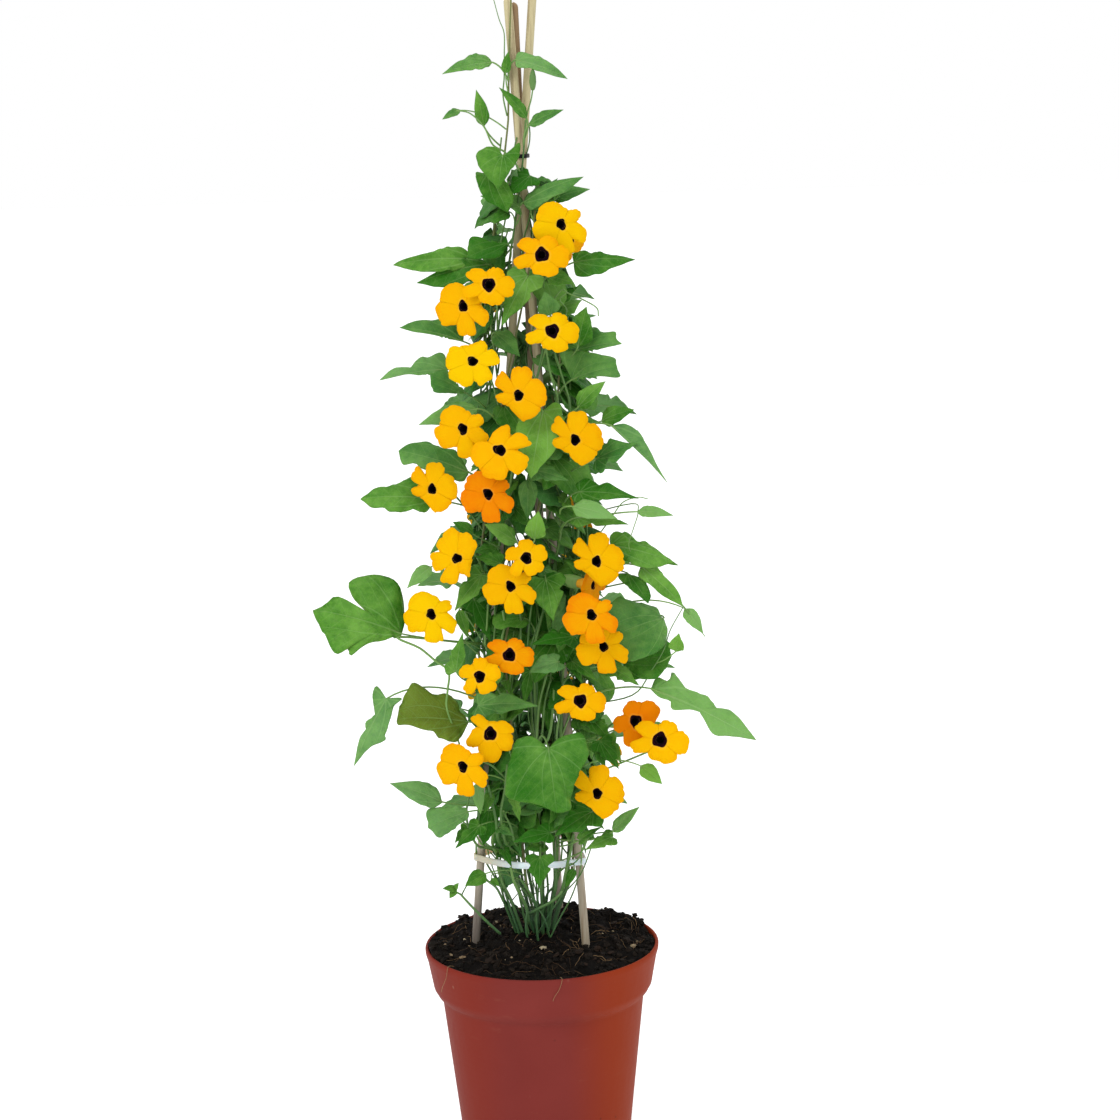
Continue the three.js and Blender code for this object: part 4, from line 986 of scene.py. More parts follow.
# x, y, z of the blade's base, x, y, z of its tip, width, shape, tone
leaves = [
    (-15, -4, 685, -45, -10, 679, 15, "kite", "misty"),
    (-1, -9, 686, 30, -15, 674, 12, "feather", "silver"),
    (5, -13, 651, -11, -17, 670, 8, "lance", "deep"),
    (6, -12, 647, 27, -18, 656, 9, "lance", "misty"),
    (-21, -5, 647, -25, -8, 669, 9, "lance", "plain"),
    (-10, -20, 630, -13, -30, 610, 31, "cloak", "plain"),
    (-19, -14, 619, -8, -24, 596, 20, "toothed", "plain"),
    (1, -14, 601, 38, -20, 616, 16, "sword", "misty"),
    (19, -6, 602, 42, -8, 608, 10, "lance", "misty"),
    (-9, -20, 577, -33, -28, 570, 20, "wedge", "night"),
    (-29, -18, 568, -78, -24, 566, 20, "ridged", "plain"),
    (-20, -18, 565, -64, -28, 555, 25, "keel", "deep"),
    (31, -24, 565, 68, -28, 566, 27, "taper", "deep"),
    (-37, -24, 519, -75, -30, 529, 21, "tadpole", "misty"),
    (3, -30, 558, -13, -46, 530, 24, "arrow", "fresh"),
    (32, -30, 514, 38, -34, 539, 16, "spire", "plain"),
    (32, -26, 512, 58, -34, 517, 27, "notched", "misty"),
    (28, -32, 495, 55, -40, 503, 39, "anvil", "misty"),
    (-47, -30, 503, -88, -38, 498, 23, "hooked", "silver"),
    (-36, -30, 488, -57, -40, 501, 22, "trowel", "misty"),
    (31, -42, 479, 48, -46, 495, 12, "lance", "fresh"),
    (-29, -34, 479, -65, -42, 471, 14, "lance", "pale"),
    (45, -38, 470, 65, -42, 477, 13, "lance", "plain"),
    (51, -44, 468, 84, -52, 433, 17, "crescent", "silver"),
    (-36, -32, 440, -78, -36, 455, 19, "saddle", "misty"),
    (-57, -34, 424, -102, -40, 427, 28, "coarse", "plain"),
    (42, -44, 448, 66, -52, 458, 22, "arrow", "misty"),
    (31, -44, 428, 66, -54, 425, 18, "arrow", "deep"),
    (10, -46, 478, 2, -60, 440, 27, "heart", "bright"),
    (26, -54, 421, 53, -62, 414, 13, "lance", "pale"),
    (29, -42, 412, 60, -48, 408, 14, "arrow", "plain"),
    (65, -50, 416, 87, -54, 414, 8, "lance", "pale"),
    (49, -40, 394, 87, -48, 384, 22, "wing", "plain"),
    (67, -42, 381, 92, -52, 357, 13, "willow", "fresh"),
    (-8, -44, 398, -27, -50, 411, 13, "lance", "fresh"),
    (-18, -48, 386, -34, -54, 392, 13, "arrow", "plain"),
    (-80, -38, 342, -133, -44, 360, 65, "twoLobed", "plain"),
    (59, -42, 377, 71, -48, 359, 13, "dagger", "deep"),
    (-91, -40, 302, -112, -52, 263, 25, "ragged", "silver"),
    (-41, -36, 285, -84, -46, 291, 45, "boat", "olive"),
    (-30, -40, 378, -47, -44, 357, 18, "arrow", "fresh"),
    (-47, -54, 321, -42, -60, 346, 15, "arrow", "plain"),
    (9, -54, 377, 13, -62, 353, 25, "arrow", "plain"),
    (81, -34, 347, 48, -46, 338, 43, "apron", "misty"),
    (55, -32, 319, 85, -38, 323, 30, "paddle", "deep"),
    (25, -50, 340, 0, -58, 338, 17, "arrow", "night"),
    (47, -44, 319, 64, -50, 309, 14, "arrow", "plain"),
    (72, -40, 304, 135, -54, 273, 31, "banner", "pale"),
    (-34, -48, 298, 2, -58, 300, 20, "arrow", "misty"),
    (8, -76, 277, 12, -90, 241, 56, "shield", "deep"),
    (-58, -46, 237, -90, -54, 252, 16, "lance", "silver"),
    (-43, -48, 231, -67, -56, 224, 19, "fan", "silver"),
    (46, -46, 215, 63, -50, 232, 9, "lance", "pale"),
    (34, -54, 231, 11, -64, 219, 23, "arrow", "deep"),
    (1, -58, 204, 0, -66, 187, 19, "arrow", "deep"),
    (36, 26, 218, 58, 50, 206, 24, "arrow", "plain"),
    (8, 48, 218, 14, 84, 206, 26, "heart", "fresh"),
    (-36, 32, 216, -64, 54, 206, 24, "arrow", "plain"),
    (52, 12, 266, 94, 22, 258, 26, "arrow", "deep"),
    (30, 46, 262, 52, 82, 250, 24, "arrow", "fresh"),
    (-14, 52, 260, -24, 92, 248, 28, "heart", "plain"),
    (-48, 20, 280, -82, 32, 276, 24, "arrow", "deep"),
    (12, 50, 312, 24, 94, 320, 22, "arrow", "fresh"),
    (-38, 40, 308, -70, 72, 298, 26, "arrow", "plain"),
    (54, 26, 306, 90, 44, 298, 24, "arrow", "plain"),
    (36, 42, 340, 64, 78, 330, 24, "heart", "fresh"),
    (-16, 54, 350, -30, 92, 338, 26, "arrow", "deep"),
    (-48, 22, 362, -74, 46, 356, 24, "arrow", "plain"),
    (54, 6, 384, 92, 8, 372, 24, "arrow", "plain"),
    (10, 50, 396, 16, 88, 384, 26, "heart", "fresh"),
    (-40, 34, 392, -66, 60, 374, 22, "arrow", "plain"),
    (34, 38, 436, 60, 68, 424, 24, "arrow", "deep"),
    (-20, 44, 436, -38, 80, 426, 24, "arrow", "fresh"),
    (-42, 14, 436, -78, 22, 440, 22, "arrow", "plain"),
    (42, 12, 474, 68, 26, 466, 22, "arrow", "deep"),
    (6, 44, 480, 8, 78, 474, 22, "heart", "fresh"),
    (-34, 28, 476, -58, 50, 466, 22, "arrow", "plain"),
    (26, 32, 520, 44, 60, 526, 20, "arrow", "deep"),
    (-18, 36, 506, -34, 64, 496, 20, "arrow", "fresh"),
    (24, 18, 544, 44, 34, 538, 18, "arrow", "plain"),
    (4, 34, 550, 6, 60, 542, 20, "heart", "deep"),
    (-28, 16, 546, -54, 28, 538, 18, "arrow", "fresh"),
    (16, 22, 584, 30, 40, 580, 15, "arrow", "plain"),
    (-9, 22, 584, -18, 40, 578, 15, "arrow", "fresh"),
]

# the same, for leaves too small to be solids of their own
smallLeaves = [
    (-7, -10, 678, -5, -13, 691, 6, "lance", "plain"),
    (-35, -6, 657, -46, -9, 652, 6, "lance", "misty"),
    (6, -13, 617, -8, -20, 605, 18, "arrow", "night"),
    (-7, -16, 596, -18, -22, 590, 9, "lance", "deep"),
    (15, -28, 557, 31, -36, 553, 12, "lance", "plain"),
    (16, -32, 534, 13, -36, 549, 14, "lance", "misty"),
    (0, -36, 436, -1, -46, 412, 12, "lance", "misty"),
    (3, -52, 401, 6, -56, 419, 13, "lance", "bright"),
    (93, -46, 355, 104, -52, 340, 9, "lance", "pale"),
    (-34, -46, 404, -46, -52, 413, 9, "lance", "deep"),
    (-60, -46, 385, -75, -52, 373, 10, "lance", "pale"),
    (15, -56, 326, -2, -64, 322, 13, "heart", "silver"),
    (87, -50, 329, 89, -54, 341, 10, "lance", "bright"),
    (-36, -48, 222, -51, -56, 210, 13, "arrow", "deep"),
    (7, -58, 219, -15, -64, 216, 14, "arrow", "night"),
    (-18, -8, 183, -25, -7, 166, 16, "arrow", "teal"),
    (-33, -44, 190, -46, -50, 184, 11, "lance", "plain"),
    (-18, -24, 524, -3, -32, 510, 14, "lance", "misty"),
    (4, -44, 442, 24, -50, 436, 15, "arrow", "misty"),
    (64, -50, 258, 77, -54, 247, 11, "lance", "bright"),
    (46, -46, 212, 29, -52, 206, 12, "arrow", "plain"),
    (-30, -34, 228, -34, -42, 208, 14, "heart", "night"),
    (-28, -40, 241, -33, -46, 229, 7, "lance", "deep"),
    (-24, -40, 218, -15, -46, 214, 8, "arrow", "misty"),
    (-14, -44, 238, -11, -50, 224, 8, "arrow", "plain"),
    (-37, -42, 248, -35, -48, 229, 8, "lance", "pale"),
    (-10, -66, 246, 18, -74, 237, 9, "lance", "night"),
    (23, -46, 235, 41, -54, 219, 11, "arrow", "deep"),
    (26, -44, 210, 40, -50, 220, 7, "arrow", "plain"),
    (-30, -42, 186, -25, -46, 182, 5, "lance", "plain"),
    (22, -38, 190, 16, -44, 179, 6, "lance", "deep"),
    (-44, -34, 217, -52, -40, 209, 9, "arrow", "deep"),
    (-22, -30, 201, -17, -36, 191, 7, "arrow", "deep"),
    (-36, -22, 360, -26, -30, 334, 17, "arrow", "night"),
    (-45, -26, 354, -40, -32, 337, 8, "lance", "fresh"),
    (3, -20, 357, 7, -26, 332, 16, "heart", "night"),
    (-8, -16, 356, -6, -22, 332, 15, "arrow", "deep"),
    (-18, -14, 353, -16, -20, 333, 12, "arrow", "night"),
    (21, -30, 326, 30, -38, 307, 12, "arrow", "deep"),
    (24, -34, 321, 39, -42, 310, 11, "arrow", "plain"),
    (-2, -26, 314, -7, -32, 293, 11, "arrow", "plain"),
    (-19, -24, 313, -15, -30, 300, 9, "arrow", "plain"),
    (7, -12, 307, 8, -18, 273, 19, "arrow", "deep"),
    (7, -34, 379, 22, -42, 370, 10, "arrow", "misty"),
    (31, -30, 374, 22, -36, 384, 9, "arrow", "plain"),
    (33, -20, 283, 47, -28, 268, 16, "arrow", "plain"),
    (44, -26, 270, 53, -32, 255, 12, "arrow", "fresh"),
    (37, -30, 267, 43, -36, 252, 10, "arrow", "deep"),
    (19, -26, 423, 27, -30, 414, 10, "arrow", "fresh"),
    (-40, -20, 357, -37, -26, 336, 10, "arrow", "deep"),
    (40, -34, 270, 51, -40, 254, 15, "arrow", "deep"),
]

blade = {
    "thickness": 0.42,
    "hub": 0.3,
    "arch": 0.07,
    "fold": 0.14,
    "wave": 0.05,
    "facing": 0.8,
    "lift": 0.6,
    "backY": 10,
    "rimPoints": 76,
    "rings": [0.16, 0.34, 0.52, 0.68, 0.82, 0.92, 1],
    "fillRimPoints": 32,
    "fillRings": [0.3, 0.7, 1],
    "quilt": 0.017,
    "ruffle": 0.03,
    "crimp": 0.02,
    "curl": 0.06,
    "firstSeeds": {"small": 200, "fill": 400, "shoot": 900},
    "toneSpread": 0.1,
    # left outline, right outline where it differs, hub's share of the length where it differs
    "shapes": {
        "arrow": ([(-0.1, 0.6), (0.08, 1), (0.3, 0.62), (0.46, 0.66)],),
        "heart": ([(-0.16, 0.5), (0.06, 1), (0.45, 0.95), (0.78, 0.5)],),
        "broad": ([(-0.12, 0.5), (0.1, 0.96), (0.56, 1), (0.92, 0.6)],),
        "fan": ([(0.06, 0.36), (0.44, 0.8), (0.88, 1)],),
        "lance": ([(0.2, 0.9), (0.58, 0.8)],),
        "kite": ([(0.05, 0.5), (0.25, 1), (0.65, 0.6)], [(0.2, 0.55), (0.6, 0.35)]),
        "feather": ([(0.1, 0.9), (0.3, 0.6), (0.75, 0.55)], [(0, 0.9), (0.3, 1), (0.5, 0.9), (0.8, 0.45)]),
        "cloak": ([(-0.2, 0.25), (-0.15, 0.6), (0.05, 1), (0.5, 0.8)],
                  [(-0.2, 0.3), (-0.4, 0.6), (0.1, 0.6)]),
        "toothed": ([(-0.1, 0.75), (0.5, 1), (0.75, 0.6)], [(0.25, 0.6), (0.7, 0.75), (0.9, 0.4)]),
        "sword": ([(0.1, 1), (0.35, 1), (0.7, 0.75)], [(0.2, 0.55), (0.55, 0.45), (0.75, 0.3)]),
        "wedge": ([(0.3, 0.4), (0.75, 1)], [(0.3, 0.85), (0.7, 0.7)]),
        "ridged": ([(0.05, 0.4), (0.15, 0.8), (0.35, 0.75), (0.65, 0.35), (0.9, 0.25)],
                   [(0.2, 0.75), (0.55, 1), (0.8, 0.6)]),
        "keel": ([(0.2, 0.55), (0.45, 0.4), (0.75, 0.15)], [(0.2, 0.7), (0.45, 1), (0.7, 0.8)]),
        "taper": ([(0.05, 0.75), (0.3, 1), (0.65, 0.5)], [(0, 0.5), (0.3, 0.45), (0.7, 0.2)]),
        "tadpole": ([(0.05, 1), (0.4, 0.95), (0.8, 0.5)], [(0.3, 0.1), (0.65, 0.15), (0.8, 0.15)]),
        "spire": ([(0.3, 1), (0.7, 0.6), (0.85, 0.25)], [(0.2, 0.75), (0.65, 0.75), (0.85, 0.4)]),
        "notched": ([(0.35, 0.2), (0.75, 0.15)], [(0.35, 1), (0.65, 0.55), (0.9, 0.5), (0.9, 0.25)]),
        "anvil": ([(0.3, 0.15), (0.65, 0.25), (1.05, 0.45)], [(-0.15, 1), (0.55, 0.6), (0.95, 0.4)]),
        "hooked": ([(0, 1), (0.2, 0.85), (0.4, 0.75), (0.55, 0.4), (0.75, 0.5)],
                   [(0.25, 0.25), (0.65, 0.06), (0.85, 0.06)]),
        "trowel": ([(0.4, 0.25), (0.75, 0.55)], [(0.4, 0.55), (0.8, 1), (0.9, 0.65)]),
        "crescent": ([(0.15, 0.1), (0.45, 0.1), (0.7, 0.05)],
                     [(0.1, 0.7), (0.25, 1), (0.45, 0.75), (0.75, 0.25)]),
        "saddle": ([(0.25, 0.95), (0.5, 0.85), (0.7, 1), (0.9, 0.55)],
                   [(0.1, 0.95), (0.6, 1), (0.75, 0.65), (0.9, 0.95)], 0.5),
        "coarse": ([(0.25, 1), (0.5, 0.65), (0.65, 0.5), (0.8, 0.5)],
                   [(0.15, 0.65), (0.3, 0.6), (0.6, 0.8), (0.7, 0.55), (0.85, 0.5)]),
        "wing": ([(0.25, 0.7), (0.55, 1), (0.8, 0.55)],
                 [(-0.05, 0.55), (0.05, 0.9), (0.35, 0.5), (0.65, 0.35)]),
        "willow": ([(0.1, 0.95), (0.3, 0.85), (0.65, 0.7)], [(0.1, 1), (0.4, 0.8), (0.75, 0.65)]),
        "twoLobed": ([(0, 0.3), (0.05, 0.65), (0.2, 0.9), (0.35, 1), (0.55, 0.9), (0.7, 0.7), (0.6, 0.4),
                      (0.45, 0.2), (0.8, 0.3), (0.9, 0.15)],
                     [(0.35, 0.45), (0.5, 0.8), (0.55, 0.65), (0.65, 0.8), (0.8, 0.55), (0.9, 0.25)], 0.2),
        "dagger": ([(-0.1, 1), (0.45, 0.7)], [(0.4, 0.85), (0.85, 0.6)]),
        "ragged": ([(-0.1, 0.75), (0.05, 0.65), (0.25, 0.15), (0.4, 0.35), (0.5, 0.2), (0.65, 0.3)],
                   [(-0.1, 0.7), (0.05, 0.5), (0.2, 0.7), (0.45, 0.85), (0.5, 1), (0.7, 0.4)]),
        "boat": ([(0.2, 0.6), (0.35, 0.75), (0.5, 0.7), (0.65, 0.9), (0.8, 1), (0.95, 0.45)],
                 [(0.2, 0.65), (0.55, 0.4), (0.85, 0.2), (1, 0.2)]),
        "apron": ([(0.1, 0.5), (0.5, 0.8), (0.6, 0.95), (0.85, 0.8)], [(0.1, 0.55), (0.4, 1), (0.9, 0.85)]),
        "paddle": ([(0.2, 0.8), (0.6, 1), (0.85, 0.7)], [(0.2, 0.35), (0.7, 0.55), (0.95, 0.7)]),
        "banner": ([(0.1, 0.2), (0.2, 0.2), (0.25, 0.55), (0.45, 0.15), (0.65, 0.7), (0.8, 0.4)],
                   [(0, 0.5), (0.1, 0.5), (0.1, 1), (0.25, 0.6), (0.45, 0.65), (0.6, 0.4), (0.7, 0.6)], 0.45),
        "shield": ([(-0.2, 0.3), (-0.2, 0.65), (0.1, 0.85), (0.45, 1), (0.7, 1), (0.85, 0.4)],
                   [(-0.15, 0.3), (-0.15, 0.75), (0.15, 0.85), (0.5, 0.55), (0.8, 0.35), (1, 0.3)]),
    },
    "teeth": {"arrow": 4, "heart": 4, "broad": 5, "fan": 5, "lance": 3, "own": 7},
    "toothDepth": {"arrow": 0.07, "heart": 0.06, "broad": 0.045, "fan": 0.05, "lance": 0.022, "own": 0.02},
    # shade from dark to bright; the second number runs from the leaf's own olive, below 0, through green to a
    # painted bluish sheen
    "tones": {
        # painted shade: very dark leaves deep in the plant's shade
        "night": (-0.12, 0.1),
        "deep": (0.14, 0.2),
        "teal": (0.05, 1),
        "plain": (0.36, 0.2),
        "olive": (0.36, -0.6),
        "misty": (0.32, 0.7),
        "fresh": (0.6, 0.3),
        "silver": (0.52, 1),
        "bright": (0.9, 0.1),
        "pale": (1, 1),
    },
    "dark": (0.018, 0.11, 0.004),
    "olive": (0.14, 0.15, 0.018),
    "bright": (0.15, 0.33, 0.045),
    "sheenAndOlive": (0.17, 0.29, 0.19),
    "vein": (0.24, 0.42, 0.14),
    "underside": (0.14, 0.28, 0.11),
    "edge": (0.1, 0.14, 0.03),
}


def tonedRow(row, index):  # the row with no roll, and its tone as numbers that differ a little on each leaf
    shade, sheenAndOlive = blade["tones"][row[8]]
    return *row[:7], 0, row[7], shade + blade["toneSpread"] * (scatter(index + 77) - 0.5), sheenAndOlive


def bladeFrame(row, outward=None):
    base, tip = vec(*row[0:3]), vec(*row[3:6])
    length = np.linalg.norm(tip - base)
    ahead = (tip - base) / length
    if outward is None:
        outward = vec(0, -1 if base[1] < blade["backY"] else 1, 0)
    opened = outward * blade["facing"] + vec(0, 0, blade["lift"])
    face = unit(opened - ahead * np.dot(opened, ahead))
    face = turned(face, ahead, math.radians(row[7]))
    return base, ahead, face, np.cross(face, ahead), length, row[6] / 2


def bladeSides(row):  # left and right outline, and the hub's share of the length
    shape = blade["shapes"][row[8]]
    return shape[0], shape[min(1, len(shape) - 1)], shape[2] if len(shape) > 2 else blade["hub"]


def bladeRim(row, index, length, half, rimPoints):  # rim points (along, across, ripple) in millimetres
    leftSide, rightSide, hub = bladeSides(row)

    def ripple(k):
        return 2 * blade["wave"] * (scatter(index * 9 + k) - 0.5) * (2 if k % 2 else -2)

    left = [(u * length, -v * half, ripple(k)) for k, (u, v) in enumerate(leftSide)]
    right = [(u * length, v * half, ripple(k + 4)) for k, (u, v) in enumerate(rightSide)][::-1]
    tip = (length, 0, 0)
    leftCurve = evenly(throughPoints([(0, 0, 0)] + left + [tip], 14), rimPoints // 2 + 1)
    rightCurve = evenly(throughPoints([tip] + right + [(0, 0, 0)], 14), rimPoints // 2 + 1)
    rim = np.vstack([leftCurve[:-1], rightCurve[:-1]])
    share = np.arange(rimPoints) / rimPoints
    isRight = share > 0.5
    side = np.minimum(share, 1 - share) * 2  # 0 at the base, 1 at the tip
    kind = row[8] if row[8] in blade["teeth"] else "own"
    number = blade["teeth"][kind]
    shift = np.where(isRight, scatter(index * 5 + 1), scatter(index * 5 + 4))
    turn = side * number + shift + 0.35 * np.sin(side * 9 + 6 * shift)
    jag = turn % 1
    tooth = index * 17 + turn.astype(int) + 40 * isRight
    uneven = np.array([0.35 + 1.1 * scatter(n) for n in tooth])
    bite = np.minimum(jag / 0.8, (1 - jag) / 0.2) * smooth(0.05, 0.2, side) * smooth(1, 0.88, side)
    inward = -unitRows(rim[:, :2] - vec(hub * length, 0))
    depth = blade["toothDepth"][kind] * min(half * 2, length)
    rim[:, :2] += inward * ((bite - 0.4) * depth * uneven)[:, None]
    return rim


def unitRows(rows):
    return rows / np.maximum(np.linalg.norm(rows, axis=1), 1e-9)[:, None]


def addBlade(skin, row, index, outward=None, isFill=False):
    base, ahead, face, side, length, half = bladeFrame(row, outward)
    rim = bladeRim(row, index, length, half, blade["fillRimPoints" if isFill else "rimPoints"])
    rings = blade["fillRings" if isFill else "rings"]
    hub = vec(bladeSides(row)[2] * length, 0, 0)
    count = len(rim)
    flat = [hub[None, :]]
    shares = [np.zeros(1)]
    for f in rings:
        ring = hub + (rim - hub) * f
        ring[:, 2] = rim[:, 2] * f ** 2
        flat.append(ring)
        shares.append(np.full(count, f))
    flat, shares = np.vstack(flat), np.concatenate(shares)
    u, v, across = flat[:, 0] / length, flat[:, 1] / half, flat[:, 1] / length
    size = min(length, half * 2)
    quilt = blade["quilt"] * size * smooth(0, 0.11, ribDistance(u, across)) * (1 - shares ** 6)
    around = np.arctan2(flat[:, 1], flat[:, 0] - hub[0])
    wave = blade["ruffle"] * size * np.sin(5 * around + 6 * scatter(index)) * shares ** 3
    wave += blade["crimp"] * size * np.sin(9 * around + 6 * scatter(index + 3)) * shares ** 4
    curl = -blade["curl"] * half * smooth(0.75, 1, shares) * (0.3 + scatter(index + 9))
    arch = blade["arch"] * length * np.sin(math.pi * np.maximum(u, 0))
    lift = arch + half * (blade["fold"] * np.abs(v) + flat[:, 2]) + quilt + wave + curl
    points = base + flat[:, :1] * ahead + flat[:, 1:2] * side + lift[:, None] * face
    thick = blade["thickness"] / 2 * (1 - 0.35 * shares ** 4)
    places = np.stack([u, across, shares], axis=1)
    first = np.arange(count)
    after = (first + 1) % count
    triangles = np.stack([np.zeros(count, int), first + 1, after + 1], axis=1)
    quads = [np.stack([a + first, a + count + first, a + count + after, a + after], axis=1)
             for a in 1 + count * np.arange(len(rings) - 1)]
    rimIndex = 1 + count * (len(rings) - 1) + first
    addSheet(skin, (points + thick[:, None] * face, places, (row[9], 0, row[10])),
             (points - thick[:, None] * face, places, (row[9], 1, row[10])),
             np.vstack(quads)[:, ::-1], triangles[:, ::-1], rimIndex[::-1])
    return base, ahead, face, length


veins = {"angles": [0.5, 1.05, 1.9], "curve": 0.35, "branches": 6, "branchWidth": 0.006, "slant": 0.85}


def ribDistance(x, y):  # distance to the nearest main vein, in leaf lengths
    reach = np.hypot(x, y)
    angle = np.arctan2(np.abs(y), x) + veins["curve"] * reach
    angle = np.where(np.abs(y) < 1e-9, 0, angle)
    away = [np.abs(y)] + [np.abs(angle - a) * reach for a in veins["angles"]]
    return np.minimum.reduce(away)


petiole = {
    "drop": 12,
    "bend": 0.45,
    "radius": 0.62,
    "taper": (1.1, 0.85),
    "ribTaper": (0.8, 0.25),
    "ribSunk": 0.25,
    # steps of the stalk, where its rib has points along the blade, sides
    "own": (12, (0.08, 0.2, 0.35, 0.5, 0.65, 0.8), 6),
    "fill": (7, (0.2, 0.6), 5),
}


def petiolePath(joint, base, ahead, count):
    arrival = unit(unit(base - joint) + ahead)
    elbow = base - arrival * petiole["bend"] * np.linalg.norm(base - joint)
    return bent(joint, elbow, base, count)


def addLeaf(skin, row, index, joint, outward=None, isFill=False):
    base, ahead, face, length = addBlade(skin, row, index, outward, isFill)
    steps, shares, sides = petiole["fill" if isFill else "own"]
    stalk = petiolePath(joint, base, ahead, steps)
    arch = blade["arch"] * length
    rib = np.array([base + ahead * length * u + face * (arch * math.sin(math.pi * u) - petiole["ribSunk"])
                    for u in shares])
    radii = [np.linspace(*petiole["taper"], len(stalk)), np.linspace(*petiole["ribTaper"], len(rib))]
    radii = np.concatenate(radii) * petiole["radius"] * min(1.0, 0.55 + length / 70)
    addTube(skin, np.vstack([stalk, rib]), radii, sides, paint=1, kind=(0.45 + 0.4 * row[9], 0, 0))


filling = {
    "count": 420,
    "low": 204,
    "high": 612,
    "lowest": (196, 262),
    "lowShare": 0.17,
    "lengths": (19, 35),
    "slender": (0.6, 0.92),
    "reach": 15,
    "lowestTip": 190,
    "roll": 25,
    "frontShare": 0.62,
    # the inner leaves run darker than the named tones: painted shade deep inside the plant
    "shades": (-0.15, 0.45),
    "sheenAndOlive": 0.8,
    "shapes": ("arrow", "arrow", "heart", "broad"),
    "openAbove": 495,
    "openWidth": 9,
}


def fillingLeaves():  # leaves inside the plant, between the stems and the blooms
    draw = random.Random(21)
    heights, radii = zip(*stems["spread"])
    centre = vec(*stems["centre"], 0)
    rows = []
    while len(rows) < filling["count"]:
        isLow = draw.random() < filling["lowShare"]
        z = draw.uniform(*filling["lowest"]) if isLow else draw.uniform(filling["low"], filling["high"])
        isFront = draw.random() < filling["frontShare"]
        angle = draw.uniform(math.pi, 2 * math.pi) if isFront else draw.uniform(0, math.pi)
        outward = vec(math.cos(angle), math.sin(angle), 0)
        across = vec(-outward[1], outward[0], 0)
        radius = np.interp(z, heights, radii)
        base = centre + outward * radius * draw.uniform(0.7, 1.05) + vec(0, 0, z)
        fullSize = float(smooth(195, 270, z) * smooth(640, 520, z))
        length = draw.uniform(*filling["lengths"]) * (0.6 + 0.4 * fullSize)
        heading = outward * draw.uniform(0.1, 0.8) + across * draw.uniform(-1, 1)
        heading = unit(heading + vec(0, 0, draw.uniform(-0.9, 0.35)))
        tip = base + heading * length
        if np.linalg.norm((tip - centre)[:2]) > radius + filling["reach"] or tip[2] < filling["lowestTip"]:
            continue
        beside = min(abs((base + tip)[0] / 2 - canePoint(name, z)[0]) for name in ("front_left", "back"))
        if z > filling["openAbove"] and base[1] < 5 and beside < filling["openWidth"]:
            continue
        width = length * draw.uniform(*filling["slender"])
        shape = draw.choice(filling["shapes"])
        roll = draw.uniform(-filling["roll"], filling["roll"])
        shade, sheenAndOlive = draw.uniform(*filling["shades"]), draw.random() * filling["sheenAndOlive"]
        rows.append(((*base, *tip, width, roll, shape, shade, sheenAndOlive), outward))
    return rows


def leafPaint():
    p = Paint("leaf")
    spot = p.spot()
    place = p.attribute("place")
    x, y, rimShare = p.parts(place)
    shade, under, sheenAndOlive = p.parts(p.attribute("kind"))
    wobble = p.clouds(spot, 160, 2) * 0.03 - 0.015
    across = y.size() + wobble * 0.3
    reach = (x * x + y * y) ** 0.5
    angle = across.over(x) + reach * veins["curve"]
    taper = x.step(1.05, 0.0, 0.003, 0.013)
    mainVeins = (across / taper).step(1.3, 0.5)
    for a in veins["angles"]:
        mainVeins = mainVeins.most((((angle - a).size() * reach) / taper).step(1.25, 0.45) * 0.8)
    branch = ((x - across * veins["slant"]) * veins["branches"] + shade * 7).apart(0.5)
    branches = (branch / veins["branches"] / veins["branchWidth"]).step(1.3, 0.3) * 0.5
    net = p.cells(p.stretched(place, (1, 1, 0)), 22, "DISTANCE_TO_EDGE").step(0.08, 0.0) * 0.3
    vein = mainVeins.most(branches).most(net)
    patch = p.clouds(p.shifted(spot, (3, 1, 0)), 34, 3)
    mottle = p.clouds(spot, 260, 4, 0.6)
    # painted light and shade: one half of each blade lighter and the other darker, as light falls across its
    # fold
    half = (y * 30).step(-1, 1, -0.06, 0.06) * (shade * 23).wave()
    tone = shade + half + (patch - 0.5) * 1.6 + (mottle - 0.5) * 0.8
    color = p.mixed(blade["dark"], blade["bright"], tone.step(-0.15, 1.15))
    # painted sheen: a pale bluish reflection mixed into the colour, more on some leaves than others
    color = p.mixed(color, blade["sheenAndOlive"], (sheenAndOlive * 0.34 + (patch - 0.5) * 0.3).step(0, 1))
    color = p.mixed(color, blade["olive"], sheenAndOlive * -1.1)
    color = p.mixed(color, blade["edge"], rimShare.step(0.98, 1.0) * patch.step(0.4, 0.6) * 0.4)
    color = p.mixed(color, blade["vein"], vein * (0.22 + shade * 0.2))
    color = p.mixed(color, blade["underside"], under * (0.62 - vein * 0.2))
    height = mottle * 0.35 + vein * (under * 2 - 1) * 0.9
    rough = 0.38 + mottle * 0.16 + under * 0.2
    return p.finish(color, rough, p.bump(height, 0.5, 0.0006),
                    Subsurface_Weight=0.12, Subsurface_Scale=0.002, Subsurface_Radius=(0.5, 1.0, 0.2),
                    Specular_IOR_Level=0.06)


def stemPaint():
    p = Paint("stem")
    spot = p.spot()
    shade, ripe = p.parts(p.attribute("kind"))[:2]
    fibre = p.clouds(p.stretched(spot, (1, 1, 0.12)), 700, 3)
    patch = p.clouds(spot, 60, 3)
    color = p.mixed(stems["dark"], stems["bright"], (shade + (patch - 0.5) * 0.5).step(0.0, 1.1))
    color = p.mixed(color, stems["ripe"], ripe)
    nearSoil = p.parts(spot)[2].step(0.192, 0.146)
    color = p.mixed(color, stems["shaded"], nearSoil * 0.75)
    color = p.mixed(color, stems["fibre"], fibre.step(0.5, 0.7) * 0.4)
    return p.finish(color, stems["roughness"] + fibre * 0.15, p.bump(fibre, 0.4, 0.0004),
                    Subsurface_Weight=0.1, Subsurface_Scale=0.002, Subsurface_Radius=(0.5, 1.0, 0.2))


# blooms

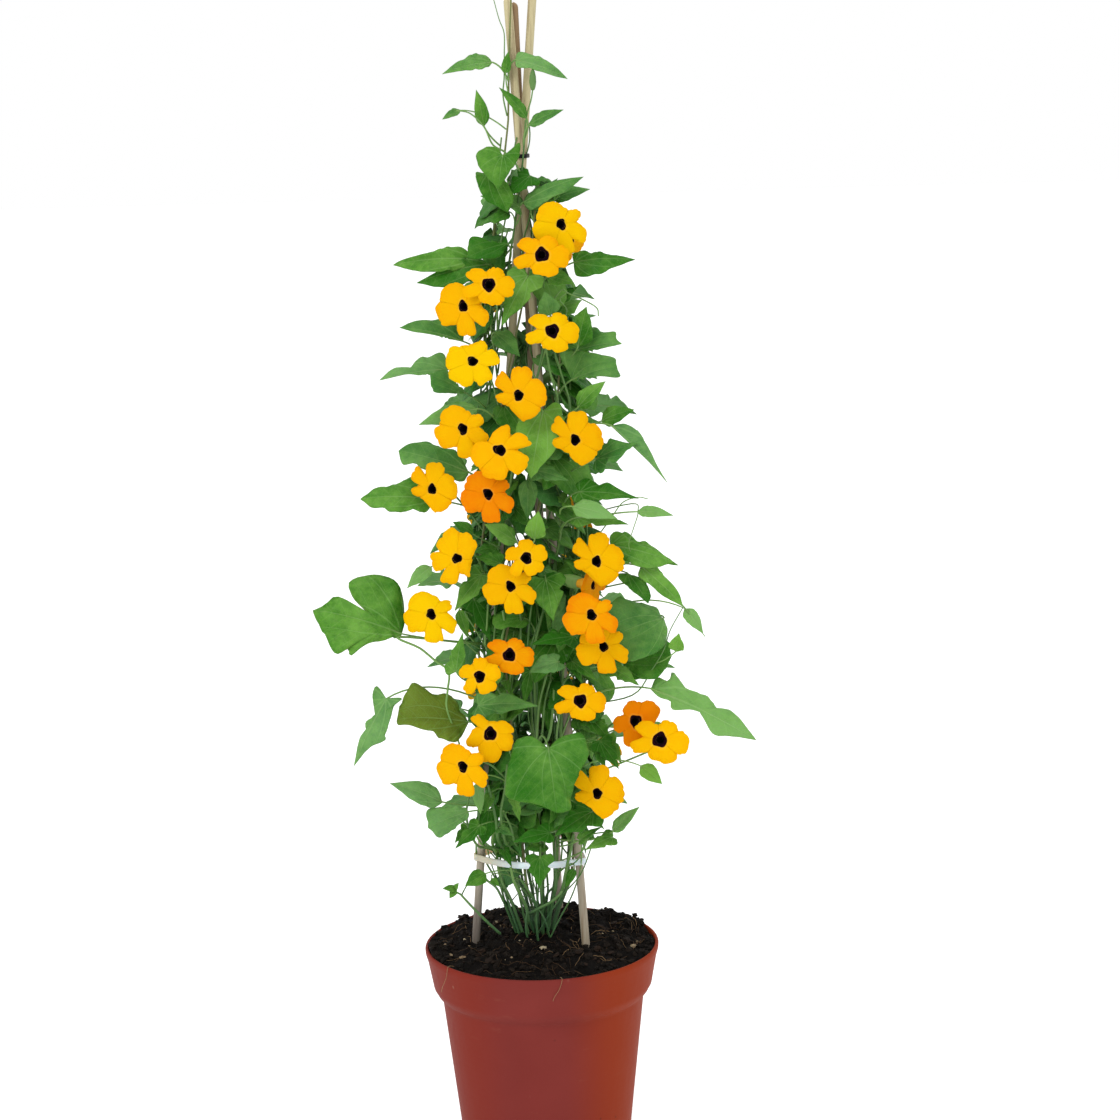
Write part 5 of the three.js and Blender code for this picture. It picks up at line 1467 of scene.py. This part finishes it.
# x, y, z of the eye, width across, turn to the right, tilt up, turn of the petals,
# tone from yellow to orange, form
blooms = [
    (24, -44, 589, 35, 16, 4, 0, 0.1, "skirt"),
    (12, -54, 572, 34, 4, 6, 0, 0.45, "open"),
    (-20, -52, 555, 32, -6, 8, 0, 0.35, "open"),
    (-36, -44, 542, 36, -22, 6, 0, 0.4, "skirt"),
    (17, -56, 527, 33, 2, 8, 0, 0.15, "open"),
    (-31, -54, 510, 34, -14, 14, 0, 0, "broad"),
    (-4, -64, 490, 34, -6, 10, 0, 0.5, "pinwheel"),
    (-38, -58, 470, 36, -18, 4, 0, 0.4, "skirt"),
    (-16, -74, 459, 35, -12, 14, 0, 0.4, "split"),
    (29, -60, 462, 34, 2, 8, 0, 0.4, "pinwheel"),
    (-58, -50, 433, 32, -12, 6, 0, 0.4, "pinwheel"),
    (-24, -62, 431, 35, -10, 6, 0, 0.9, "skirt"),
    (-44, -60, 392, 34, -16, 2, 0, 0.3, "slanted"),
    (-2, -76, 394, 27, 8, 14, 0, 0.3, "round"),
    (40, -60, 388, 34, 4, 8, 0, 0.35, "pinwheel"),
    (-12, -70, 376, 34, -2, 8, 0, 0.35, "skirt"),
    (-61, -54, 357, 35, -14, 10, 0, 0.05, "skirt"),
    (36, -74, 358, 35, 8, 14, 0, 0.7, "skirt"),
    (43, -62, 336, 34, 12, 4, 0, 0.4, "skirt"),
    (-14, -70, 334, 31, -2, 12, 0, 0.75, "open"),
    (-32, -78, 323, 27, -8, 12, 0, 0.3, "round"),
    (28, -72, 305, 32, 4, 12, 0, 0.4, "open"),
    (-27, -68, 285, 32, -12, 14, 0, 0.35, "torn"),
    (-44, -76, 267, 36, -20, 8, 0, 0.4, "skirt"),
    (62, -46, 285, 31, 14, 8, 0, 1, "tipped"),
    (76, -58, 276, 37, -12, 16, 0, 0.3, "open"),
    (37, -72, 247, 34, 6, 10, 0, 0.35, "pinwheel"),
    (29, -12, 578, 27, 40, 4, 30, 0.6, "round"),
    (38, -43, 370, 28, 60, -6, 20, 0.7, "skirt"),
    (30, 30, 401, 29, 140, 12, 60, 0.8, "round"),
    (44, 58, 244, 33, 140, 10, 40, 0.35, "open"),
    (-30, 64, 284, 34, -150, 10, 20, 0.3, "skirt"),
    (-8, 84, 320, 34, 182, 12, 60, 0.5, "round"),
    (-34, 56, 334, 33, -145, 12, 35, 0.4, "pinwheel"),
    (34, 72, 366, 34, 155, 12, 10, 0.2, "open"),
    (-26, 66, 402, 33, -160, 12, 50, 0.4, "skirt"),
    (4, 70, 446, 34, 176, 12, 15, 0.35, "pinwheel"),
    (24, 44, 494, 32, 145, 12, 45, 0.7, "open"),
    (-27, 53, 541, 32, -155, 12, 30, 0.3, "skirt"),
    (14, 72, 284, 30, 165, 12, 25, 0.4, "round"),
]

# each form has its eye (half length, half width, angle of its length), then its petals: angles and
# shares of the radius, from the notch before the petal on
petal = {
    "count": 5,
    "thickness": 0.32,
    "mouth": 2.5,
    "mouthDepth": 0.5,
    "across": 24,
    "along": 11,
    "overlap": 1.012,
    "nicks": 3,
    "nickWidth": 0.08,
    "tuck": 0.04,  # one side of each petal lies over the next
    "rollBack": (0.3, 0.7),  # least, and how much more at most
    "crown": 0.14,
    "ripple": 0.2,
    "ruffle": 0.5,
    "tilt": 0.045,
    "dish": 0.03,
    "shine": 0.02,
    "eyeShine": 0.2,
    "yellow": (0.72, 0.415, 0.0004),
    "amber": (0.71, 0.325, 0.0004),
    "orange": (0.68, 0.165, 0.0006),
    "pale": (0.74, 0.47, 0.08),
    "eye": (0.006, 0.0012, 0.004),
    "eyeNap": (0.016, 0.005, 0.012),
    "back": (0.72, 0.4, 0.05),
    "forms": {
        "open": ((0.25, 0.245, 90), [
            [(27, 0.68), (42, 0.75), (62, 0.73), (82, 0.66)],
            [(99, 0.51), (116, 0.68), (137, 0.88), (157, 0.94)],
            [(171, 0.56), (188, 1), (208, 0.97)],
            [(225, 0.6), (243, 0.73), (264, 0.71), (282, 0.82), (308, 0.87)],
            [(321, 0.74), (333, 0.97), (360, 0.99), (380, 0.86)],
        ]),
        "skirt": ((0.2, 0.155, 112), [
            [(7, 0.58), (17, 0.77), (31, 0.83), (43, 0.75)],
            [(58, 0.56), (78, 0.66), (113, 0.87), (140, 0.94), (160, 0.9)],
            [(169, 0.85), (183, 1.02), (205, 1), (222, 0.98)],
            [(248, 0.67), (258, 0.96), (281, 1.02), (296, 1)],
            [(307, 0.62), (318, 1), (332, 1.01), (348, 0.9)],
        ]),
        "pinwheel": ((0.2, 0.16, 98), [
            [(52, 0.76), (61, 0.98), (77, 1.05), (102, 0.97)],
            [(117, 0.62), (123, 1.04), (138, 1.02), (156, 0.92)],
            [(165, 0.57), (180, 0.82), (196, 0.78)],
            [(214, 0.6), (245, 0.6), (272, 0.83), (284, 0.95), (318, 0.96)],
            [(331, 0.88), (345, 1.03), (372, 0.99), (396, 0.92)],
        ]),
        "round": ((0.27, 0.235, 105), [
            [(57, 0.72), (71, 0.85), (88, 0.86), (107, 0.84)],
            [(122, 0.65), (136, 0.79), (152, 0.93), (170, 0.97), (183, 0.86)],
            [(188, 0.56), (214, 0.93), (232, 0.98), (247, 0.81)],
            [(251, 0.53), (274, 0.8), (306, 0.87), (327, 0.93)],
            [(342, 0.74), (357, 0.93), (375, 0.98), (396, 0.93)],
        ]),
        "split": ((0.235, 0.17, 160), [
            [(3, 0.56), (10, 1.08), (20, 1.09), (35, 0.97), (47, 0.83)],
            [(53, 0.57), (69, 0.87), (81, 0.88), (112, 0.67)],
            [(145, 0.52), (163, 0.88), (190, 1.05), (214, 1)],
            [(226, 0.97), (243, 1.05), (278, 1.03)],
            [(296, 0.75), (308, 1.06), (332, 1.1), (347, 1)],
        ]),
        "broad": ((0.195, 0.16, 150), [
            [(40, 0.66), (53, 0.8), (72, 0.81), (94, 0.65)],
            [(128, 0.73), (148, 0.98), (166, 1), (186, 1.03)],
            [(200, 0.93), (211, 1.07), (231, 0.96), (252, 0.95), (266, 0.86)],
            [(275, 0.68), (288, 0.92), (306, 0.93), (323, 0.96)],
            [(341, 0.61), (354, 0.98), (365, 1), (388, 0.85)],
        ]),
        "slanted": ((0.195, 0.16, 20), [
            [(-3, 0.57), (21, 0.7), (33, 0.92), (50, 0.99), (70, 1.01)],
            [(85, 0.93), (100, 1.12), (120, 1.03), (150, 0.92)],
            [(162, 0.7), (168, 0.93), (180, 1.02), (211, 0.93)],
            [(220, 0.58), (230, 1), (242, 1.04), (267, 0.9)],
            [(279, 0.55), (302, 0.8), (314, 0.7), (330, 0.58)],
        ]),
        "torn": ((0.26, 0.245, 90), [
            [(2, 0.8), (10, 0.96), (40, 0.78), (68, 0.54)],
            [(101, 0.5), (117, 0.78), (127, 0.93), (146, 0.98)],
            [(152, 0.57), (166, 0.75), (180, 0.8), (198, 1.02), (213, 1)],
            [(225, 0.7), (237, 0.9), (254, 1.1), (280, 1.1), (296, 0.96)],
            [(306, 0.8), (323, 1), (340, 0.97), (354, 0.9)],
        ]),
        "tipped": ((0.27, 0.24, 100), [
            [(67, 0.79), (85, 0.83), (108, 0.83), (135, 0.7)],
            [(148, 0.56), (162, 0.79), (180, 0.95), (198, 0.95), (210, 0.83)],
            [(214, 0.66), (228, 0.82), (241, 1.03), (262, 1.05)],
            [(285, 0.75), (298, 0.95), (322, 0.98), (335, 0.9)],
            [(345, 0.75), (376, 1.08), (390, 1.1), (411, 1.03)],
        ]),
    },
}


def bloomFrame(row):  # middle of the eye, ways it faces, right and up, and the radius
    turn, tilt = math.radians(row[4]), math.radians(row[5])
    facing = vec(math.sin(turn) * math.cos(tilt), -math.cos(turn) * math.cos(tilt), math.sin(tilt))
    right = vec(math.cos(turn), math.sin(turn), 0)
    return vec(*row[0:3]), facing, right, np.cross(facing, right), row[3] / 2


def petalRim(row, k, seed):  # angle and reach of the points of a petal's edge, in radians and shares
    outlines = petal["forms"][row[8]][1]
    angle, reach = (outlines + outlines[:1])[k + 1][0]
    knots = np.array(outlines[k] + [(angle + (360 if k + 1 == len(outlines) else 0), reach)], float)
    turn = np.radians(knots[:, 0] + row[6])
    flat = knots[:, 1:] * np.stack([np.cos(turn), np.sin(turn)], axis=1)
    curve = evenly(throughPoints(flat, 12), petal["across"])
    angle = np.unwrap(np.arctan2(curve[:, 1], curve[:, 0]))
    angle = angle.mean() + (angle - angle.mean()) * petal["overlap"]
    a = np.linspace(-1, 1, petal["across"])
    reach = np.hypot(curve[:, 0], curve[:, 1]) - 0.008
    for n in range(petal["nicks"]):
        at = -0.7 + 0.7 * n + 0.4 * (scatter(seed + n * 7 + 9) - 0.5)
        deep = 0.015 + 0.055 * scatter(seed + n * 11 + 2)
        reach = reach - deep * np.exp(-((a - at) / petal["nickWidth"]) ** 2)
    return angle, reach


def addPetal(skin, row, index, k):
    eye, facing, right, upward, radius = bloomFrame(row)
    wide, long = petal["across"], petal["along"]
    seed = index * 31 + k * 5
    a = np.linspace(-1, 1, wide)[None, :] * np.ones((long, 1))
    f = 1 - (1 - np.linspace(0, 1, long)[:, None] * np.ones((1, wide))) ** 1.25
    angle, reach = petalRim(row, k, seed)
    r = petal["mouth"] + (reach * radius - petal["mouth"]) * f
    angle = np.broadcast_to(angle, r.shape)
    ease = smooth(0, 0.35, f)
    tuck = petal["tuck"] * a * ease + 0.1 * smooth(0.2, 0.9, f)
    least, more = petal["rollBack"]
    roll = -(least + more * scatter(seed + 7)) * smooth(0.72, 1, f) ** 1.5
    crown = petal["crown"] * (1 - a ** 2) * ease * smooth(1, 0.3, f)
    crown = crown + petal["ripple"] * np.cos(a * 4.4) * f ** 2
    wave = np.sin(a * (4.2 + 2 * scatter(seed + 5)) + 6 * scatter(seed + 6))
    ruffle = petal["ruffle"] * (1 - a ** 4) * wave * f ** 3
    dish = petal["tilt"] * np.sin(angle + 6 * scatter(index))  # the whole bloom leans and bends a little
    dish = dish + petal["dish"] * np.sin(2 * angle + 6 * scatter(index + 8)) - 0.025
    mouth = -petal["mouthDepth"] * (1 - smooth(0, 0.2, f))
    depth = mouth + tuck + roll + crown + ruffle + radius * dish * f ** 1.4
    across, up = r * np.cos(angle), r * np.sin(angle)
    points = eye + across[..., None] * right + up[..., None] * upward + depth[..., None] * facing
    eyeLong, eyeShort, slant = petal["forms"][row[8]][0]
    cosine, sine = math.cos(math.radians(slant)), math.sin(math.radians(slant))
    corner = 1 + 0.09 * np.sin(3 * angle + 6 * scatter(index + 60))
    corner = corner + 0.05 * np.sin(5 * angle + 6 * scatter(index + 61))
    ratio = np.hypot((across * cosine + up * sine) / eyeLong, (up * cosine - across * sine) / eyeShort)
    ratio = ratio / radius * corner  # 1 on the edge of the eye
    places = np.stack([f, a, ratio], axis=2).reshape(-1, 3)
    thin = petal["thickness"] / 2 * (1 - 0.4 * f)[..., None] * facing
    tone = row[7] + 0.12 * (scatter(seed + 4) - 0.5)
    addSheet(skin, ((points + thin).reshape(-1, 3), places, (tone, 0, scatter(seed))),
             ((points - thin).reshape(-1, 3), places, (tone, 1, scatter(seed))),
             gridQuads(long, wide)[:, ::-1], [], gridRim(long, wide)[::-1])


bloomTube = {
    "sides": 20,
    # radius, and height along the way the bloom faces
    "throat": [
        (0, -9), (0.9, -8.8), (1.6, -7.4), (2.1, -5), (2.35, -2.6), (2.5, -1.2), (2.65, -0.5), (3.1, -0.5),
    ],
    "outside": [
        (3.7, -0.7), (3.8, -2.2), (3.55, -4.6), (3.2, -7.5), (3.0, -9.8), (2.85, -11.2), (0, -11.25),
    ],
}


def addBloomTube(skin, row):  # the dark throat and the pale tube round it
    eye, facing = bloomFrame(row)[:2]

    def farFromEye(r, h, angles):
        return np.stack([0 * r, 0 * r, 0 * r + 3], axis=1)

    addLathe(skin, bloomTube["throat"] + bloomTube["outside"], bloomTube["sides"], eye, facing, 0,
             (row[7], 1, 0.5), placeOf=farFromEye, headBands=len(bloomTube["throat"]) - 1, headPaint=1)


def petalPaint():
    p = Paint("petal")
    spot = p.spot()
    out, across, ratio = p.parts(p.attribute("place"))
    tone, under, seed = p.parts(p.attribute("kind"))
    streaks = p.clouds(p.joined(across * 9 + seed * 40, out * 1.2, seed), 1.6, 4, 0.6)
    cloud = p.clouds(spot, 70, 2)
    shade = tone + (streaks - 0.5) * 0.34 + (cloud - 0.5) * 0.26 + out.step(0.6, 1.0) * 0.18
    color = p.mixed(petal["yellow"], petal["amber"], shade.step(-0.05, 0.5))
    color = p.mixed(color, petal["orange"], shade.step(0.42, 1.05))
    halo = ratio.step(1.45, 1.0) * 0.16
    color = p.mixed(color, petal["pale"], halo)
    color = p.mixed(color, petal["back"], under * 0.5)
    ragged = p.clouds(spot, 420, 2) * 0.12 - 0.06
    dark = (ratio + ragged).step(1.06, 0.97) * (1 - under)
    color = p.mixed(color, petal["eye"], dark)
    height = streaks * 0.6 + p.clouds(spot, 900, 2) * 0.25
    return p.finish(color, 0.6 + streaks * 0.12, p.bump(height, 0.35, 0.0005),
                    Subsurface_Weight=0.22, Subsurface_Scale=0.003, Subsurface_Radius=(1.0, 0.5, 0.05),
                    Specular_IOR_Level=petal["shine"])


def eyePaint():
    p = Paint("eyeVelvet")
    nap = p.clouds(p.spot(), 900, 3)
    color = p.mixed(petal["eye"], petal["eyeNap"], nap.step(0.45, 0.75))
    return p.finish(color, 0.7 + nap * 0.2, p.bump(nap, 0.6, 0.0004), Specular_IOR_Level=petal["eyeShine"])


def makeBlooms():
    paints = [petalPaint(), eyePaint()]
    slots = {s["node"]: s["material_slot"] for s in frame["record"]["subparts"]}
    for index, row in enumerate(blooms):
        node = f"bloom_{index + 1:02d}"
        skin = Skin(f"flower{index + 1:02d}", paints, slots[node])
        for k in range(petal["count"]):
            addPetal(skin, row, index, k)
        addBloomTube(skin, row)
        skin.make(node)
    print("blooms made")


# green calyx and stalk behind each bloom

calyx = {
    "start": 11.3,  # behind the eye
    "length": 15,
    "drop": 30,
    "radius": 0.62,
    "neck": 0.75,
    "steps": 16,
    "stalkSides": 6,
    "bracts": 2.6,
    "sides": 20,
    "shade": 0.75,
}


def addCalyx(skin, row, index, joint):
    eye, facing = bloomFrame(row)[:2]
    start, end = calyx["start"], calyx["start"] + calyx["length"]
    back = eye - facing * end
    elbow = back - facing * petiole["bend"] * np.linalg.norm(back - joint)
    stalk = np.vstack([bent(joint, elbow, back, calyx["steps"]), back + facing])
    radii = np.linspace(calyx["radius"], calyx["neck"], len(stalk))
    tone = 0.45 + 0.25 * scatter(index)
    addTube(skin, stalk, radii, calyx["stalkSides"], paint=1, kind=(tone, 0, 0))
    profile = [
        (0, start + 0.6), (3.15, start - 0.9), (3.45, start - 0.6), (3.8, start + 0.9), (4.1, start + 2.6),
        (4.05, start + 5), (3.5, start + 8), (2.5, end - 3.8), (1.5, end - 1.6), (0.85, end - 0.3), (0, end),
    ]

    def bracts(r, h, angles):  # two leafy bracts with points towards the bloom
        seam = np.cos(2 * angles)
        ridges = 0.97 * (1 + 0.1 * seam + 0.03 * np.cos(10 * angles))
        point = calyx["bracts"] * np.maximum(seam, 0) ** 2 * smooth(start + 3, start - 0.6, -h) * (r > 2)
        return r * np.where(r > 1, ridges, 1), h + point

    addLathe(skin, [(r, -h) for r, h in profile], calyx["sides"], eye, facing, 1,
             (calyx["shade"], 0, 0.5), shape=bracts)


def makeLeafyStems():
    paints = [leafPaint(), stemPaint()]
    skins = [Skin(f"leafyStem{k + 1:02d}", paints, "foliage") for k in range(len(stems["tops"]))]
    for index, skin in enumerate(skins):
        addStem(skin, index)
    for index, row in enumerate(leaves):
        stem, joint = nearestJoint(vec(*row[0:3]), petiole["drop"])
        addLeaf(skins[stem], tonedRow(row, index), index, joint)
    for index, row in enumerate(blooms):
        eye, facing = bloomFrame(row)[:2]
        stem, joint = nearestJoint(eye - facing * (calyx["start"] + calyx["length"]), calyx["drop"])
        addCalyx(skins[stem], row, index, joint)
    for index, row in enumerate(smallLeaves):
        stem, joint = nearestJoint(vec(*row[0:3]), petiole["drop"])
        seed = index + blade["firstSeeds"]["small"]
        addLeaf(skins[stem], tonedRow(row, seed), seed, joint)
    for index, (row, outward) in enumerate(fillingLeaves()):
        stem, joint = nearestJoint(vec(*row[0:3]), petiole["drop"])
        addLeaf(skins[stem], row, index + blade["firstSeeds"]["fill"], joint, outward, True)
    for index, skin in enumerate(skins):
        skin.make(f"leafy_stem_{index + 1:02d}")
    print("leafy stems made")
    return paints


# thin shoots between the stems

shoots = {
    "count": 74,
    "fromSoil": 7,
    "rings": 22,
    "sides": 6,
    "wander": 6,
    "wanderLength": 30,
    "radius": (0.45, 0.85),
    "reach": (0.45, 0.98),
    "starts": (180, 360),
    "rise": (60, 150),
    "seatedAbove": 186,
}

# shoots given one by one: radius at the foot and tip, then points
strands = [
    (0.5, 0.25, [(-9, -6, 665), (-8, -6, 676), (-7.5, -7, 690), (-7.3, -5, 702), (-10, -5, 710),
                 (-13, -6, 722)]),
    (0.5, 0.4, [(4, -9, 646), (5, -10, 653), (7.8, -11, 662), (9, -12, 668)]),
    (0.7, 0.4, [(-8, -8, 630), (-16, -9, 636), (-21, -11, 647), (-29, -12, 655), (-37, -13, 657)]),
    (0.6, 0.35, [(10, -18, 536), (17.7, -26, 543), (23.4, -28, 549), (27, -29, 547), (36, -31, 543),
                 (44, -32, 538), (45, -32, 533)]),
    (0.5, 0.35, [(26, -22, 536), (22, -27, 543), (26, -29, 547)]),
    (0.9, 0.7, [(17, -28, 470), (19, -34, 484), (15, -35, 500), (13, -36, 514)]),
    (0.8, 0.6, [(24, -30, 468), (26, -34, 482), (22, -34, 498), (18, -34, 512)]),
    (0.5, 0.3, [(40, -36, 398), (50, -43, 412), (57, -44, 421), (66, -45, 424), (72, -46, 423)]),
    (0.4, 0.25, [(62, -44, 420), (66, -44, 415), (63, -45, 405), (60, -46, 396), (61, -46, 390)]),
    (0.5, 0.3, [(70, -42, 372), (84, -46, 364), (93, -48, 356), (100, -49, 345), (105, -50, 338)]),
    (0.5, 0.3, [(60, -40, 300), (72, -44, 316), (80, -47, 330), (84, -48, 342), (92, -48, 356)]),
    (0.5, 0.35, [(-49, -41, 175), (-46, -43, 181), (-42, -44, 187), (-38, -45, 190)]),
    (0.8, 0.5, [(-8, -10, 130), (-9.8, -14, 144), (-9, -16, 157), (-12, -15, 166), (-14, -11, 174),
                (-16, -9, 192)]),
    (0.8, 0.5, [(-2, -10, 130), (-3, -12, 146), (-2, -14, 160), (-1, -14, 171), (2, -14, 187),
                (4, -26, 206)]),
    (0.6, 0.4, [(6, -6, 130), (2, -14, 150), (-8, -15, 166), (-20, -9, 179), (-31, -6, 192)]),
    (0.6, 0.4, [(-6, -4, 130), (4, -12, 150), (14, -17, 166), (26, -24, 182), (34, -30, 204)]),
    (0.6, 0.4, [(3, -8, 130), (12, -14, 150), (20, -18, 166), (26, -22, 186), (27, -28, 210)]),
    (0.5, 0.4, [(-3, 6, 130), (-12, 2, 148), (-22, -6, 164), (-30, -6, 182), (-34, -20, 206)]),
    (0.9, 0.6, [(-30, -10, 195), (-38, -34, 205), (-43, -40, 218), (-44, -40, 229), (-42, -40, 239)]),
    (0.8, 0.5, [(-27, -12, 195), (-35, -36, 206), (-40, -40, 216), (-48, -40, 224)]),
    (1.1, 0.8, [(-21, -12, 195), (-25, -36, 209), (-26, -42, 224), (-28, -42, 236), (-30, -42, 246)]),
    (1, 0.7, [(-17, -14, 195), (-21, -34, 208), (-23, -40, 226), (-20, -40, 242), (-18, -40, 258)]),
    (0.9, 0.6, [(-12, -14, 195), (-15, -34, 207), (-17, -38, 218), (-21, -38, 227)]),
    (0.9, 0.6, [(-24, -12, 195), (-31, -35, 205), (-37, -38, 214), (-36, -38, 228)]),
    (1, 0.8, [(14, -26, 172), (17, -34, 189), (20, -36, 201), (22, -34, 211)]),
    (0.5, 0.4, [(26, -34, 199), (30, -38, 207), (33, -40, 214)]),
    (0.5, 0.4, [(23, -34, 193), (28, -38, 204), (31, -40, 212)]),
    (0.9, 0.7, [(1, -34, 275), (3, -36, 295), (8, -36, 314)]),
    (0.8, 0.6, [(4, -36, 275), (6, -38, 294), (10, -36, 310)]),
    (1, 0.7, [(8, -38, 274), (11, -40, 291), (12, -38, 304)]),
    (0.8, 0.6, [(13, -36, 273), (15, -38, 288), (17, -38, 298)]),
    (0.9, 0.7, [(-19, -30, 335), (-17, -34, 345), (-18, -34, 354)]),
    (0.9, 0.7, [(-7, -30, 331), (-7, -34, 347), (-8, -34, 357)]),
    (0.9, 0.7, [(-3, -30, 328), (-2, -34, 344), (0, -34, 358)]),
    (0.8, 0.6, [(-29, -26, 329), (-28, -30, 345), (-27, -30, 358)]),
    (0.8, 0.6, [(-24, -26, 329), (-23, -30, 344), (-23, -30, 358)]),
    (0.5, 0.4, [(-41, -34, 354), (-35, -36, 343), (-28, -36, 330)]),
    (0.5, 0.4, [(-43, -36, 337), (-36, -38, 330), (-30, -38, 324)]),
    (0.8, 0.6, [(-81, -42, 341), (-69, -44, 334), (-60, -44, 326), (-52, -44, 319), (-53, -44, 307),
                (-54, -44, 297), (-51, -42, 285), (-47, -40, 272)]),
    (0.95, 0.5, [(-26, -24, 144), (-34, -32, 155), (-42, -38, 166), (-47, -41, 173), (-50, -43, 177),
                 (-56, -45, 180), (-59, -46, 182)]),
    (1.1, 0.9, [(-8, -10, 152), (-2, -16, 157), (6, -22, 163), (12, -26, 169), (15, -26, 174)]),
    (1.2, 0.8, [(-8, -12, 147), (-9, -16, 158), (-12, -20, 167), (-16, -26, 178), (-18, -30, 189)]),
    (1.1, 0.8, [(-4, -10, 147), (-2, -14, 157), (-6, -20, 168), (-12, -26, 180)]),
    (0.5, 0.3, [(-23, -12, 160), (-24, -20, 171), (-25, -30, 184)]),
    (0.4, 0.3, [(-21, -4, 156), (-13, -10, 167), (-4, -16, 176)]),
    (0.4, 0.3, [(-17, -4, 157), (-22, -10, 167), (-25, -16, 174)]),
    (0.4, 0.3, [(-11, -8, 163), (-2, -10, 166), (6, -12, 172)]),
    (0.5, 0.3, [(-1, -6, 156), (-3, -10, 168), (-5, -14, 177)]),
    (0.5, 0.3, [(3, -6, 158), (2, -10, 168), (3, -14, 177)]),
    (0.9, 0.6, [(-14, 0, 130), (-22, -8, 156), (-24, -11, 162), (-28, -10, 170), (-34, -6, 174),
                (-38, -5, 181), (-40, -4, 190), (-40, -4, 197)]),
    (0.8, 0.5, [(-11, 2, 130), (-20, -6, 155), (-23, -8, 161), (-25, -10, 170), (-30, -6, 178),
                (-34, -6, 186), (-35, -5, 194), (-36, -24, 208)]),
    (1.1, 0.8, [(-10, -4, 130), (-18, -10, 159), (-23, -10, 171), (-26, -7, 180), (-27, -7, 190),
                (-29, -30, 206), (-27, -32, 217), (-27, -32, 226)]),
    (0.8, 0.6, [(-7, -2, 130), (-13, -8, 161), (-14, -11, 172), (-16, -9, 179), (-17, -9, 187),
                (-18, -9, 193), (-19, -25, 204)]),
    (0.8, 0.6, [(-12, -6, 130), (-21, -11, 162), (-23, -10, 170), (-24, -8, 178), (-25, -7, 186),
                (-24, -8, 195), (-23, -24, 208)]),
    (1, 0.8, [(4, 0, 130), (5, -8, 156), (11, -12, 163), (15, -16, 172), (17, -17, 180), (19, -17, 189),
              (20, -18, 196), (21, -26, 206)]),
    (0.8, 0.6, [(2, 2, 130), (3, -6, 160), (10, -12, 172), (13, -16, 183), (14, -16, 191), (15, -17, 201)]),
]

# leaves that sit on the shoots themselves
shootLeaves = [
    (-52, -46, 181, -60, -50, 183, 5, "lance", "plain"),
    (-52, -46, 181, -56, -49, 176, 5, "lance", "plain"),
    (-53, -45, 180, -50, -49, 186, 4, "lance", "fresh"),
]


def addShoots(skin):
    draw = random.Random(5)
    for k in range(shoots["count"]):
        index = draw.randrange(len(stems["tops"]))
        share = draw.uniform(*shoots["reach"])
        foot = stems["rootZ"] if k < shoots["fromSoil"] else draw.uniform(*shoots["starts"])
        top = min(foot + draw.uniform(*shoots["rise"]), stems["tops"][index])
        offset = vec(draw.uniform(-4, 4), draw.uniform(-4, 4), 0)
        seed = draw.uniform(0, 50)
        path = []
        size = shoots["wanderLength"]
        for z in np.linspace(foot, top, shoots["rings"]):
            away = float(smooth(foot + 2, foot + 45, z))  # it leaves its stem little by little
            wander = shoots["wander"] * away * vec(lump((z, seed, 0), size), lump((z, seed, 9), size), 0)
            path.append(stemPoint(index, z, blend(1, share, away)) + offset * away + wander)
        radius = draw.uniform(*shoots["radius"])
        tone = draw.uniform(0, 0.7)
        radii = np.linspace(radius, radius * 0.6, len(path))
        addTube(skin, path, radii, shoots["sides"], paint=1, kind=(tone, 0, 0))


twiners = {
    "rings": 90,
    "clearance": 0.85,
    "radius": (0.75, 0.45),
    "tone": 0.35,
    # cane, lowest and highest point, height of one turn, angle at the start
    "paths": [
        ("back", 300, 560, 46, 0.4),
        ("front_right", 330, 640, 58, 2.2),
        ("front_left", 360, 655, 64, 4.0),
    ],
}


def addTwiners(skin):  # three shoots wound round the canes
    reach = canes["radius"] + twiners["clearance"]
    for name, low, high, pitch, start in twiners["paths"]:
        heights = np.linspace(low, high, twiners["rings"])
        angles = start + 2 * math.pi * (heights - low) / pitch
        path = [canePoint(name, z) + reach * vec(math.cos(a), math.sin(a), 0)
                for z, a in zip(heights, angles)]
        radii = np.linspace(*twiners["radius"], len(path))
        addTube(skin, path, radii, shoots["sides"], paint=1, kind=(twiners["tone"], 0, 0))


bud = {
    "base": (9, -12, 667.5),
    "ahead": (0.03, -0.12, 1),
    "profile": [(0, 0), (0.9, 0.4), (1.5, 2.2), (1.9, 5), (1.7, 8.5), (1.1, 11.4), (0.5, 12.8), (0, 13)],
    "sides": 16,
    "flattened": 0.14,
    "tone": 0.35,
}


def makeBud(paint):
    skin = Skin("flowerBud", [paint], "foliage")

    def flattened(r, h, angles):
        return r * (1 + bud["flattened"] * np.cos(2 * angles)), h

    addLathe(skin, bud["profile"], bud["sides"], bud["base"], bud["ahead"], 0, (bud["tone"], 0, 0.5),
             shape=flattened)
    skin.make()


def makeShoots(paints):
    skin = Skin("thinShoots", paints, "foliage")
    addShoots(skin)
    addTwiners(skin)
    for number, (foot, tip, points) in enumerate(strands):
        if points[0][2] > shoots["seatedAbove"]:  # it starts on the nearest stem
            points = [tuple(nearestJoint(vec(*points[0]), petiole["drop"])[1])] + points
        path = throughPoints(points, 5)
        tone = 0.25 + 0.45 * scatter(number)
        radii = np.linspace(foot, tip, len(path))
        addTube(skin, path, radii, shoots["sides"], paint=1, kind=(tone, 0, 0))
    for index, row in enumerate(shootLeaves):
        addBlade(skin, tonedRow(row, index), index + blade["firstSeeds"]["shoot"])
    skin.make()
    makeBud(paints[1])
    print("shoots made")


makeCamera()
makeStudio()
print("camera and studio made")
makePot()
makeSoil()
makeCanesAndTies()
foliagePaints = makeLeafyStems()
makeBlooms()
makeShoots(foliagePaints)
